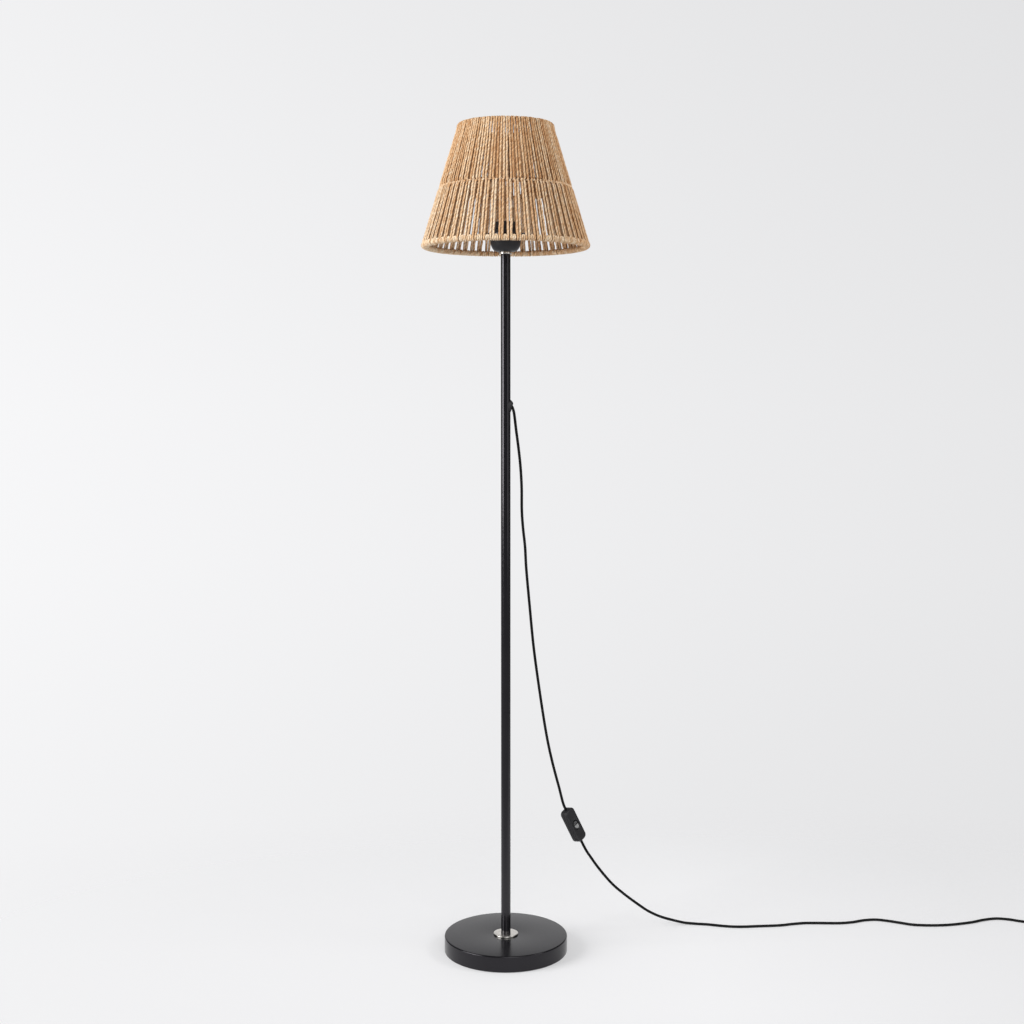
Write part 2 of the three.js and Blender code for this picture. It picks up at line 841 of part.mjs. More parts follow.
// Cord routes, chosen by hand along the way the cord hangs and lies
const upperRoute = [
  [14.3, 0.4, 993.4],
  [15.9, 1.8, 983.8],
  [18.9, 3.2, 958.6],
  [22.7, 4.7, 929.8],
  [26.6, 6.3, 893.6],
  [28.7, 7.1, 857.4],
  [29.2, 7.3, 812],
  [31.4, 8.2, 781],
  [35, 9.6, 748],
  [37, 10.4, 711.4],
  [43.6, 13, 637.7],
  [50.8, 15.9, 563.5],
  [60.8, 19.9, 488.5],
  [72.3, 24.5, 412.9],
  [79.3, 27.3, 374.8],
  [88.1, 30.8, 336.3],
  [98.3, 34.9, 297.4],
];
const lowerRoute = [
  [150.9, 56, 169.4],
  [158.7, 59.1, 156.8],
  [175.6, 65.8, 131.5],
  [201.9, 76.4, 97.9],
  [225.5, 85.8, 74.9],
  [249.3, 95.3, 54.2],
  [273.3, 104.9, 35.1],
  [297.2, 113.6, 21.3],
  [321.4, 121.6, 11.6],
  [345.3, 126.8, 4.4],
  [368.4, 125.7, 2.6],
  [391, 121.7, 2.6],
  [413.3, 115, 2.6],
  [435.7, 110.4, 2.6],
  [458.7, 109.9, 2.6],
  [482.2, 112.4, 2.6],
  [529.4, 117.4, 2.6],
  [553.8, 124.3, 2.6],
  [578.1, 129.3, 2.6],
  [601.4, 129.7, 2.6],
  [647.8, 129.3, 2.6],
  [672.2, 134.3, 2.6],
  [698.1, 145, 2.6],
  [722.2, 147.9, 2.6],
  [743.8, 140.8, 2.6],
  [764.4, 130.7, 2.6],
  [785, 120.9, 2.6],
  [807.3, 117.5, 2.6],
  [830.3, 117.2, 2.6],
  [854.2, 119.6, 2.6],
  [879.3, 125.9, 2.6],
  [905.2, 134.6, 2.6],
  [932.8, 147.8, 2.6],
  [958.2, 154.1, 2.6],
  [980.2, 149.6, 2.6],
  [1000.1, 139.6, 2.6],
  [1022, 132, 2.6],
];
const toVectors = (points) => points.map((point) => new THREE.Vector3(...point));

// The switch's own frame: X along the cord, Z out of the face with the rocker
const switchFrame = new THREE.Group();
const switchAlong = switchHeading.clone().normalize();
const switchSide = new THREE.Vector3().crossVectors(new THREE.Vector3(0, -1, 0), switchAlong).normalize();
const switchFace = new THREE.Vector3().crossVectors(switchAlong, switchSide);
switchFrame.quaternion
  .setFromRotationMatrix(new THREE.Matrix4().makeBasis(switchAlong, switchSide, switchFace))
  .multiply(new THREE.Quaternion().setFromAxisAngle(new THREE.Vector3(1, 0, 0), switchRoll));
switchFrame.position.copy(switchPlace);
lamp.add(switchFrame);
const onSwitchAxis = (distance) => switchPlace.clone().addScaledVector(switchAlong, distance);

// A rounded bar of the given length, width and thickness, with its corners and edges rounded
function roundedBar(length, width, thickness, corner, rounding) {
  const halfLength = length / 2 - rounding;
  const halfWidth = width / 2 - rounding;
  const radius = corner - rounding;
  const outline = new THREE.Shape();
  outline.moveTo(-halfLength + radius, -halfWidth);
  outline.lineTo(halfLength - radius, -halfWidth);
  outline.absarc(halfLength - radius, -halfWidth + radius, radius, -Math.PI / 2, 0, false);
  outline.lineTo(halfLength, halfWidth - radius);
  outline.absarc(halfLength - radius, halfWidth - radius, radius, 0, Math.PI / 2, false);
  outline.lineTo(-halfLength + radius, halfWidth);
  outline.absarc(-halfLength + radius, halfWidth - radius, radius, Math.PI / 2, Math.PI, false);
  outline.lineTo(-halfLength, -halfWidth + radius);
  outline.absarc(-halfLength + radius, -halfWidth + radius, radius, Math.PI, Math.PI * 1.5, false);
  return new THREE.ExtrudeGeometry(outline, {
    depth: thickness - 2 * rounding,
    bevelEnabled: rounding > 0,
    bevelThickness: rounding,
    bevelSize: rounding,
    bevelSegments: roundingSteps,
    curveSegments: cornerSteps,
  }).translate(0, 0, -thickness / 2 + rounding);
}

// Inline switch: two case halves, rocker on its pin, contact strip, screws and the cord ends inside
function makeSwitch() {
  const halfThickness = switchThickness / 2;
  const caseInside = halfThickness - switchWall;
  const pivot = halfThickness - rockerPivotDepth;
  const block = (sizeX, sizeY, low, high, x = 0, y = 0) =>
    new THREE.BoxGeometry(sizeX, sizeY, high - low).translate(x, y, (low + high) / 2);
  const post = (radius, low, high, side) =>
    rod(radius, low, high, smallSides).translate(side * screwAlong, side * screwAcross, 0);
  const body = roundedBar(switchLength, switchWidth, switchThickness, switchCorner, switchRounding);
  const cavity = roundedBar(
    switchLength - 2 * switchWall,
    switchWidth - 2 * switchWall,
    switchThickness - 2 * switchWall,
    switchCorner - switchWall,
    0,
  );
  const cordHole = new THREE.CylinderGeometry(
    cordRadius + fitGap,
    cordRadius + fitGap,
    switchLength + overrun,
    smallSides,
  ).rotateZ(Math.PI / 2);
  const opening = new THREE.CylinderGeometry(
    rockerOpeningWidth / 2,
    rockerOpeningWidth / 2,
    halfThickness + overrun,
    smallSides,
  )
    .rotateX(Math.PI / 2)
    .scale(rockerOpeningLength / rockerOpeningWidth, 1, 1)
    .translate(0, 0, (halfThickness + overrun) / 2);
  const wide = switchLength + switchWidth;
  const frontHalf = block(wide, wide, fitGap / 2, halfThickness + overrun);
  const backHalf = block(wide, wide, -halfThickness - overrun, -fitGap / 2);
  const hollow = solidOf(body).subtract(solidOf(cavity));

  const bossInner = rockerOpeningWidth / 2 - overrun / 2;
  const bossOuter = rockerOpeningWidth / 2 + pinBossWidth;
  const pinLow = pivot - rockerPinRadius - pinBossReach / 2;
  const pinBoss = (side) =>
    block(
      2 * pinBossReach + 2 * rockerPinRadius,
      bossOuter - bossInner,
      pinLow,
      caseInside + switchWall / 2,
      0,
      (side * (bossInner + bossOuter)) / 2,
    );
  const pinHole = new THREE.CylinderGeometry(
    rockerPinRadius + fitGap / 2,
    rockerPinRadius + fitGap / 2,
    switchWidth - 2 * switchWall,
    smallSides,
  ).translate(0, 0, pivot);
  const screwLow = -halfThickness + overrun / 2;
  const screwHigh = screwLow + screwReach;
  const screwHole = (side) => post(screwRadius + fitGap, -halfThickness - overrun, screwHigh + fitGap, side);
  const headHole = (side) =>
    post(screwHeadRadius + fitGap, -halfThickness - overrun, screwLow + screwHeadHeight + fitGap, side);
  const frontPost = (side) => post(screwBossRadius, fitGap / 2, caseInside + switchWall / 2, side);
  const backPost = (side) => post(screwBossRadius + fitGap, -caseInside - switchWall / 2, -fitGap / 2, side);

  const front = hollow
    .intersect(solidOf(frontHalf))
    .add(solidOf(pinBoss(-1)))
    .add(solidOf(pinBoss(1)))
    .add(solidOf(frontPost(-1)))
    .add(solidOf(frontPost(1)))
    .subtract(solidOf(opening))
    .subtract(solidOf(pinHole))
    .subtract(solidOf(cordHole))
    .subtract(solidOf(screwHole(-1)))
    .subtract(solidOf(screwHole(1)));
  piece("switch_front", geometryOf(front), blackPlastic(), switchFrame);

  const stripTop = pivot - rockerBelly - fitGap - stripThickness / 2;
  const stripBottom = stripTop - stripThickness;
  const stripPost = block(stripPostLength, stripWidth, -caseInside - switchWall / 2, stripBottom - fitGap);
  const postRoom = block(switchLength / 2, switchWidth, -halfThickness, halfThickness);
  const back = hollow
    .intersect(solidOf(backHalf))
    .add(solidOf(stripPost))
    .add(solidOf(backPost(-1)))
    .add(solidOf(backPost(1)))
    .subtract(solidOf(cordHole).subtract(solidOf(postRoom)))
    .subtract(solidOf(screwHole(-1)))
    .subtract(solidOf(screwHole(1)))
    .subtract(solidOf(headHole(-1)))
    .subtract(solidOf(headHole(1)));
  piece("switch_back", geometryOf(back), blackPlastic(), switchFrame);

  const strip = block(stripLength, stripWidth, stripBottom, stripTop);
  piece("switch_contact", strip, brass(), switchFrame);
  for (const [number, side] of [
    [1, -1],
    [2, 1],
  ]) {
    const screw = join(
      post(screwRadius, screwLow, screwHigh, side),
      post(screwHeadRadius, screwLow, screwLow + screwHeadHeight, side),
    );
    piece(`switch_screw_${number}`, screw, zincSteel(), switchFrame);
    const leadMiddle = side * (switchLength / 2 - fitGap - leadLength / 2);
    const lead = new THREE.CylinderGeometry(cordRadius, cordRadius, leadLength, cordSides)
      .rotateZ(Math.PI / 2)
      .translate(leadMiddle, 0, 0);
    piece(`switch_lead_${number}`, lead, cordBlack(), switchFrame);
  }

  // The rocker is drawn level and rests with one end pressed in
  const halfRocker = rockerLength / 2;
  const brow = rockerPivotDepth;
  const side = new THREE.Shape([
    new THREE.Vector2(-halfRocker, brow + rockerRise),
    new THREE.Vector2(-halfRocker, brow - switchWall),
    new THREE.Vector2(-halfRocker / 2, -rockerBelly / 2),
    new THREE.Vector2(0, -rockerBelly),
    new THREE.Vector2(halfRocker / 2, -rockerBelly / 2),
    new THREE.Vector2(halfRocker, brow - switchWall),
    new THREE.Vector2(halfRocker, brow + rockerRise),
    new THREE.Vector2(0, brow - rockerHollow),
  ]);
  const slab = new THREE.ExtrudeGeometry(side, { depth: rockerWidth, bevelEnabled: false })
    .translate(0, 0, -rockerWidth / 2)
    .rotateX(Math.PI / 2);
  const oval = rod(rockerWidth / 2, -rockerBelly - overrun, brow + rockerRise + overrun, roundSides).scale(
    rockerLength / rockerWidth,
    1,
    1,
  );
  const pinClear = new THREE.CylinderGeometry(
    rockerPinRadius + fitGap / 2,
    rockerPinRadius + fitGap / 2,
    rockerWidth + overrun,
    smallSides,
  );
  const rocker = solidOf(slab).intersect(solidOf(oval)).subtract(solidOf(pinClear));
  const rockerGeometry = geometryOf(rocker)
    .rotateY(-rockerTravel / 2)
    .translate(0, 0, pivot);
  piece("switch_rocker", rockerGeometry, rockerGrey(), switchFrame);
  const pinHalf = rockerOpeningWidth / 2 + pinBossWidth - fitGap;
  const pin = new THREE.CylinderGeometry(rockerPinRadius, rockerPinRadius, 2 * pinHalf, smallSides).translate(
    0,
    0,
    pivot,
  );
  piece("switch_pin", pin, zincSteel(), switchFrame);
}

// Spare cord: it comes in along the floor, spirals in on the floor, climbs one layer while the spiral
// reverses, spirals out on top and leaves straight into the plug
const coilPitch = cordDiameter + coilGap;
const coilHalfTurn = coilTurns * Math.PI;
const coilInnerRadius = coilMeanRadius - (coilPitch * coilTurns) / 4;
const coilLead = cordDiameter;
const coilGapSamples = 384;

class CoilCurve extends THREE.Curve {
  getPoint(share, target = new THREE.Vector3()) {
    const turnLength = coilTurns * 2 * Math.PI * coilMeanRadius;
    const whole = coilLead + turnLength + coilTail;
    const along = share * whole - coilLead;
    const clamped = Math.min(Math.max(along / turnLength, 0), 1);
    const angle = (2 * clamped - 1) * coilHalfTurn;
    const radius = coilInnerRadius + (coilPitch * Math.abs(angle)) / (2 * Math.PI);
    const climb = THREE.MathUtils.smoothstep(angle, -Math.PI / 2, Math.PI / 2);
    const height = cordRadius + coilPitch * climb;
    const bearing = Math.PI / 2 - (angle + coilHalfTurn);
    target.set(radius * Math.cos(bearing), radius * Math.sin(bearing), height);
    const beyond = along - clamped * turnLength;
    target.x += beyond * Math.sin(bearing);
    target.y -= beyond * Math.cos(bearing);
    return target.add(coilCentre);
  }
}

// The least gap between one stretch of the coil and another, more than half a turn away
function leastGap(curve) {
  const points = curve.getSpacedPoints(coilGapSamples);
  const apart = Math.round(coilGapSamples / coilTurns / 2);
  let least = Infinity;
  points.forEach((point, index) => {
    for (let other = index + apart; other < points.length; other += 1) {
      least = Math.min(least, point.distanceTo(points[other]));
    }
  });
  return least - cordDiameter;
}

// Free cord in two stretches, the coil, and the plug at its end
function makeCord() {
  const upper = smoothCurve([
    ...outletPoints(),
    ...toVectors(upperRoute),
    onSwitchAxis(-switchLength / 2 - fitGap - 2 * cordDiameter),
    onSwitchAxis(-switchLength / 2 - fitGap),
  ]);
  piece("cord_upper", cordAlong(crowded(upper), cordRadius, cordSides, upperCordSteps), cordBlack());

  const coil = new CoilCurve();
  const coilStart = coil.getPoint(0);
  const meeting = coilStart.clone().sub(new THREE.Vector3(fitGap, 0, 0));
  const lower = smoothCurve([
    onSwitchAxis(switchLength / 2 + fitGap),
    onSwitchAxis(switchLength / 2 + fitGap + 2 * cordDiameter),
    ...toVectors(lowerRoute),
    meeting.clone().sub(new THREE.Vector3(cordDiameter, 0, 0)),
    meeting,
  ]);
  piece("cord_lower", cordAlong(lower, cordRadius, cordSides, lowerCordSteps), cordBlack());
  const coilSteps = Math.round(coilStepsPerTurn * coilTurns);
  piece("cord_coil", cordAlong(coil, cordRadius, coilSideCount, coilSteps), cordBlack());
  console.log(`least gap between the coil's turns: ${leastGap(coil).toFixed(2)} mm`);

  makePlug(coil.getPoint(1));
}

// A flat two-pin plug lying on the floor, in line with the end of the coil, pins towards -Y
function makePlug(cordEnd) {
  const thickness = 2 * cordEnd.z;
  const half = plugWidth / 2;
  const neck = plugNeckWidth / 2;
  const shoulder = plugLength / 3;
  const inset = (points) => new THREE.Shape(points.map(([x, y]) => new THREE.Vector2(x, y)));
  const outline = inset([
    [-neck + plugRounding, -plugRounding],
    [-half + plugRounding, -shoulder],
    [-half + plugRounding, -plugLength + plugRounding],
    [half - plugRounding, -plugLength + plugRounding],
    [half - plugRounding, -shoulder],
    [neck - plugRounding, -plugRounding],
  ]);
  const body = new THREE.ExtrudeGeometry(outline, {
    depth: thickness - 2 * plugRounding,
    bevelThickness: plugRounding,
    bevelSize: plugRounding,
    bevelSegments: roundingSteps,
  }).translate(0, 0, -thickness / 2 + plugRounding);
  const relief = new THREE.CylinderGeometry(
    cordRadius + plugReliefWall,
    plugReliefRoot,
    plugReliefLength + plugRounding,
    smallSides,
  ).translate(0, (plugReliefLength - plugRounding) / 2, 0);
  const pinHole = (side) =>
    new THREE.CylinderGeometry(pinRadius + fitGap, pinRadius + fitGap, 2 * pinSeat, smallSides).translate(
      (side * pinSpacing) / 2,
      -plugLength,
      0,
    );
  const place = (geometry) =>
    geometry.translate(cordEnd.x, cordEnd.y - fitGap - plugReliefLength, cordEnd.z);
  piece("plug_body", place(cut(join(body, relief), pinHole(-1), pinHole(1))), blackPlastic());
  for (const [number, side] of [
    [1, -1],
    [2, 1],
  ]) {
    const seated = pinSeat - fitGap;
    const pin = new THREE.CylinderGeometry(pinRadius, pinRadius, pinLength + seated, smallSides).translate(
      (side * pinSpacing) / 2,
      -plugLength + seated - (pinLength + seated) / 2,
      0,
    );
    piece(`plug_pin_${number}`, place(pin), nickel());
  }
}

makeFoot();
makePole();
makeCordOutlet();
makeLampholder();
makeShadeFrame();
makeWinding();
makeSwitch();
makeCord();

export default lamp;
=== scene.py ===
import json
import math

import bmesh
import bpy
import numpy as np
from mathutils import Matrix, Vector

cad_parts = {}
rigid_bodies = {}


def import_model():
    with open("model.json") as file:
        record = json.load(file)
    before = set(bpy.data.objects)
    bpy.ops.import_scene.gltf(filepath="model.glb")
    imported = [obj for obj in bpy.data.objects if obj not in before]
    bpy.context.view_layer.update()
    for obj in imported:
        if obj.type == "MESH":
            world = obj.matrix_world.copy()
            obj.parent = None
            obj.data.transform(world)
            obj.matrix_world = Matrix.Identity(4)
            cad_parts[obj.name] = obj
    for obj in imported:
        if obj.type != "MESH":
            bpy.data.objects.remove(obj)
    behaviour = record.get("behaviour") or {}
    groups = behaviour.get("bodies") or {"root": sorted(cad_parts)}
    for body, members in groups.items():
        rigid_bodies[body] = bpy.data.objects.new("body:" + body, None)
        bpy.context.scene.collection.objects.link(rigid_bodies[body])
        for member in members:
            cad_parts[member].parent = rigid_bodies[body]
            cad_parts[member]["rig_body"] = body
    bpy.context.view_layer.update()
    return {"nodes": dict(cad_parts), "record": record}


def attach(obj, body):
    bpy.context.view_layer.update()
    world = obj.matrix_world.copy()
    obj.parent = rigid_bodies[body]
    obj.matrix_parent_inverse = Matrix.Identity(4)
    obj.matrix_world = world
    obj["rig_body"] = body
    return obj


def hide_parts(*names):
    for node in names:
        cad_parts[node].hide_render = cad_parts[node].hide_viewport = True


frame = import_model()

MM = 0.001
TURN = 2 * math.pi
SHARP_ANGLE = 38
random = np.random.default_rng(20)

# Camera, fitted to the lamp's circles and heights, in a square frame of 1024 pixels
SENSOR_WIDTH = 36
LENS = 51.523
CAMERA_PLACE = (0.0113323, -2.6393296, 1.0185368)
CAMERA_LEAN = math.radians(85.5182)


def make_camera():
    data = bpy.data.cameras.new("camera")
    data.sensor_width = SENSOR_WIDTH
    data.lens = LENS
    camera = bpy.data.objects.new("camera", data)
    camera.location = CAMERA_PLACE
    camera.rotation_euler = (CAMERA_LEAN, 0, 0)
    bpy.context.scene.collection.objects.link(camera)
    bpy.context.scene.camera = camera


make_camera()


# Paths and meshes
def unit(vector):
    return vector / np.linalg.norm(vector, axis=-1, keepdims=True)


def even_angles(count, start=0):
    return (np.arange(count) + start) / count * TURN


def oval(wide, tall, count, start=0):
    """Points round an oval, in two columns."""
    angles = even_angles(count, start)
    return np.stack([wide * np.cos(angles), tall * np.sin(angles)], 1)


def flat_row(points, third):
    """Two columns and a third that is the same for all points, such as a height."""
    return np.column_stack([points, np.full(len(points), third)])


def about_pole(radius, angle, height):
    """Points from their distance to the upright axis, their bearing and their height."""
    parts = (radius * np.cos(angle), radius * np.sin(angle), height)
    return np.stack(np.broadcast_arrays(*parts), -1)


def distances(path):
    """How far along a path each of its points lies."""
    return np.concatenate([[0], np.cumsum(np.linalg.norm(np.diff(path, axis=0), axis=1))])


def smooth_curve(points, steps=24):
    """A centripetal curve through the points, with the same number of steps between each two."""
    points = np.asarray(points, float)
    padded = np.vstack([2 * points[0] - points[1], points, 2 * points[-1] - points[-2]])
    spans = np.sqrt(np.linalg.norm(np.diff(padded, axis=0), axis=1))
    share = (np.arange(steps) / steps)[:, None]
    parts = []
    for index in range(len(points) - 1):
        p0, p1, p2, p3 = padded[index : index + 4]
        d0, d1, d2 = spans[index : index + 3]
        t1 = ((p1 - p0) / d0 - (p2 - p0) / (d0 + d1) + (p2 - p1) / d1) * d1
        t2 = ((p2 - p1) / d1 - (p3 - p1) / (d1 + d2) + (p3 - p2) / d2) * d1
        c2 = -3 * p1 + 3 * p2 - 2 * t1 - t2
        c3 = 2 * p1 - 2 * p2 + t1 + t2
        parts.append(p1 + t1 * share + c2 * share**2 + c3 * share**3)
    return np.vstack(parts + [points[-1:]])


def spaced(path, spacing):
    """The path with points a given distance apart, to the nearest whole number of steps."""
    along = distances(path)
    at = np.linspace(0, along[-1], max(2, round(along[-1] / spacing) + 1))
    return np.stack([np.interp(at, along, column) for column in path.T], axis=1)


def link(name, mesh):
    thing = bpy.data.objects.new(name, mesh)
    bpy.context.scene.collection.objects.link(thing)
    return thing


def smooth_by_angle(thing, angle):
    """Shades a mesh smooth, and leaves the edges sharper than an angle sharp."""
    thing.data.shade_smooth()
    thing.data.set_sharp_from_angle(angle=math.radians(angle))


def stacked(name, rows, closed=True, smooth_angle=SHARP_ANGLE):
    """A piece from rows of points: a closed band, or a solid with its first and last row filled."""
    count, steps = len(rows), len(rows[0])
    faces = []
    for row in range(count if closed else count - 1):
        here, there = row * steps, (row + 1) % count * steps
        for index in range(steps):
            ahead = (index + 1) % steps
            faces.append((here + index, here + ahead, there + ahead, there + index))
    if not closed:
        faces += [tuple(range(steps)), tuple(range((count - 1) * steps, count * steps))]
    mesh = bpy.data.meshes.new(name)
    mesh.from_pydata([tuple(point) for point in np.vstack(rows)], [], faces)
    shape = bmesh.new()
    shape.from_mesh(mesh)
    bmesh.ops.remove_doubles(shape, verts=shape.verts, dist=1e-6)
    bmesh.ops.dissolve_degenerate(shape, edges=shape.edges, dist=1e-7)
    bmesh.ops.recalc_face_normals(shape, faces=shape.faces)
    shape.to_mesh(mesh)
    shape.free()
    thing = link(name, mesh)
    smooth_by_angle(thing, smooth_angle)
    return thing


def rounded(outline, steps=5):
    """An outline of (x, y, radius) corners, as points, with each corner rounded."""
    result = []
    for index, (x, y, radius) in enumerate(outline):
        corner = np.array([x, y])
        if not radius:
            result.append(corner)
            continue
        back = np.array(outline[index - 1][:2]) - corner
        ahead = np.array(outline[(index + 1) % len(outline)][:2]) - corner
        most = 0.49 * min(np.linalg.norm(back), np.linalg.norm(ahead))
        back, ahead = unit(back), unit(ahead)
        half = math.acos(np.clip(back @ ahead, -1, 1)) / 2
        reach = min(radius / math.tan(half), most)
        middle = corner + unit(back + ahead) * reach / math.cos(half)
        start, end = corner + back * reach - middle, corner + ahead * reach - middle
        sweep = math.pi - 2 * half
        for share in np.arange(steps + 1) / steps:
            turned = math.sin((1 - share) * sweep) * start + math.sin(share * sweep) * end
            result.append(middle + turned / math.sin(sweep))
    return np.array(result)


def lathe(name, outline, sides, shift=None, smooth_angle=SHARP_ANGLE):
    """A piece turned about the upright axis, from an outline in millimetres with rounded corners."""
    radius, height = (rounded(outline) * MM).T
    angle = even_angles(sides)[:, None]
    if shift:
        radius = radius + shift(radius, height, angle)
    return stacked(name, about_pole(radius, angle, height), True, smooth_angle)


def carve(thing, cutter, operation="DIFFERENCE"):
    """Cuts the cutter out of a piece, or joins it to the piece, and removes it."""
    modifier = thing.modifiers.new("cut", "BOOLEAN")
    modifier.operation = operation
    modifier.solver = "EXACT"
    modifier.object = cutter
    depsgraph = bpy.context.evaluated_depsgraph_get()
    mesh = bpy.data.meshes.new_from_object(thing.evaluated_get(depsgraph), depsgraph=depsgraph)
    thing.modifiers.clear()
    old = thing.data
    thing.data = mesh
    bpy.data.meshes.remove(old)
    bpy.data.objects.remove(cutter)


def halves(a, b, c, d):
    """The two triangles of each four-sided cell, as corners in a row."""
    return np.stack([a, b, c, a, c, d], 2)


class Bundle:
    """Round cords laid along paths and gathered in one mesh, each with its own strip of the bake map."""

    def __init__(self, sides, ply_depth, plies, lay):
        self.sides = sides
        self.ply_depth = ply_depth
        self.plies = plies
        self.tubes = []
        self.strips = []
        # The sections lie so far apart that a ply crosses one side in each step
        self.step = lay / sides

    def add(self, path, radius, first_side, tone_and_painted_light=0.5, phase=0):
        """A cord along a path with even steps. The radius is one number or one for each point."""
        count = len(path)
        radius = np.broadcast_to(radius, count)
        tangent = unit(np.gradient(path, axis=0))
        side = np.array(first_side, float)
        across = np.empty_like(path)
        for index in range(count):
            side = unit(side - (side @ tangent[index]) * tangent[index])
            across[index] = side
        over = np.cross(tangent, across)
        around = even_angles(self.sides)
        ply = around - ((np.arange(count) + phase) / self.sides * TURN)[:, None]
        hollow = (1 - np.cos(self.plies * ply)) / 2
        reach = radius[:, None] * (1 - self.ply_depth * hollow)
        section = np.cos(around)[None, :, None] * across[:, None, :]
        section = section + np.sin(around)[None, :, None] * over[:, None, :]
        vertices = path[:, None, :] + reach[..., None] * section
        along = distances(path)
        lift = along[:, None] + random.uniform(0, 10)
        fibre = about_pole(radius[:, None], ply, lift)
        self.tubes.append((vertices, fibre, hollow, tone_and_painted_light))
        self.strips.append((along, radius.mean()))

    def build(self, name):
        """One object of all the cords, each closed at both ends."""
        sides, base = self.sides, 0
        ring = np.arange(sides)
        after = (ring + 1) % sides
        vertices, fibres, hollows, tones_and_painted_light, faces = [], [], [], [], []
        for points, fibre, hollow, tone_and_painted_light in self.tubes:
            count = len(points)
            rows = base + np.arange(count - 1)[:, None] * sides
            a, b = rows + ring, rows + after
            faces.append(halves(a, b, b + sides, a + sides).reshape(-1, 3))
            start, last = base + count * sides, base + (count - 1) * sides
            faces.append(np.stack([np.full(sides, start), base + after, base + ring], -1))
            faces.append(np.stack([np.full(sides, start + 1), last + ring, last + after], -1))
            vertices += [points.reshape(-1, 3), points[[0, -1]].mean(axis=1)]
            fibres += [fibre.reshape(-1, 3), fibre[[0, -1]].mean(axis=1)]
            hollows += [hollow.ravel(), np.zeros(2)]
            tones_and_painted_light.append(np.full(count * sides + 2, tone_and_painted_light))
            base += count * sides + 2
        faces = np.vstack(faces)
        mesh = bpy.data.meshes.new(name)
        mesh.vertices.add(base)
        mesh.vertices.foreach_set("co", np.vstack(vertices).astype(np.float32).ravel())
        mesh.loops.add(faces.size)
        mesh.loops.foreach_set("vertex_index", faces.astype(np.int32).ravel())
        mesh.polygons.add(len(faces))
        mesh.polygons.foreach_set("loop_start", np.arange(0, faces.size, 3, dtype=np.int32))
        mesh.update(calc_edges=True)
        mesh.validate()
        for label, kind, field, values in (
            ("fibre", "FLOAT_VECTOR", "vector", np.vstack(fibres)),
            ("hollow", "FLOAT", "value", np.concatenate(hollows)),
            ("tone_and_painted_light", "FLOAT", "value", np.concatenate(tones_and_painted_light)),
        ):
            attribute = mesh.attributes.new(label, kind, "POINT")
            attribute.data.foreach_set(field, values.astype(np.float32).ravel())
        layer = mesh.uv_layers.new(name="OFBake")
        layer.data.foreach_set("uv", self.bake_map().astype(np.float32).ravel())
        mesh.shade_smooth()
        return link(name, mesh)

    def bake_map(self):
        """Map coordinates for each corner of each face: a strip for each cord, side by side in rows."""
        count = len(self.strips)
        widest = max(radius for _, radius in self.strips) * TURN
        longest = max(along[-1] for along, _ in self.strips)
        layouts = [(rows, math.ceil(count / rows)) for rows in range(1, count + 1)]
        sizes = [max(columns * widest * 1.15, rows * longest * 1.02) for rows, columns in layouts]
        rows, columns = layouts[int(np.argmin(sizes))]
        tip = 0.004 / rows
        parts = []
        for number, (along, _) in enumerate(self.strips):
            row, column = divmod(number, columns)
            # Each strip keeps clear of its neighbours by a small part of its column and row
            u = (column + 0.06) / columns + 0.88 / columns * np.arange(self.sides + 1) / self.sides
            v = (row + 0.01) / rows + 0.94 / rows / longest * along
            grid = np.stack(np.meshgrid(u, v), -1)
            low, high = grid[:-1], grid[1:]
            cells = halves(low[:, :-1], low[:, 1:], high[:, 1:], high[:, :-1])
            parts.append(cells.reshape(-1, 2))
            for edge, step, lift in ((grid[0], -1, -tip), (grid[-1], 1, tip)):
                rim = (edge[:-1], edge[1:])[::step]
                tips = (edge[:-1] + edge[1:]) / 2 + (0, lift)
                parts.append(np.stack([tips, *rim], 1).reshape(-1, 2))
        return np.vstack(parts)


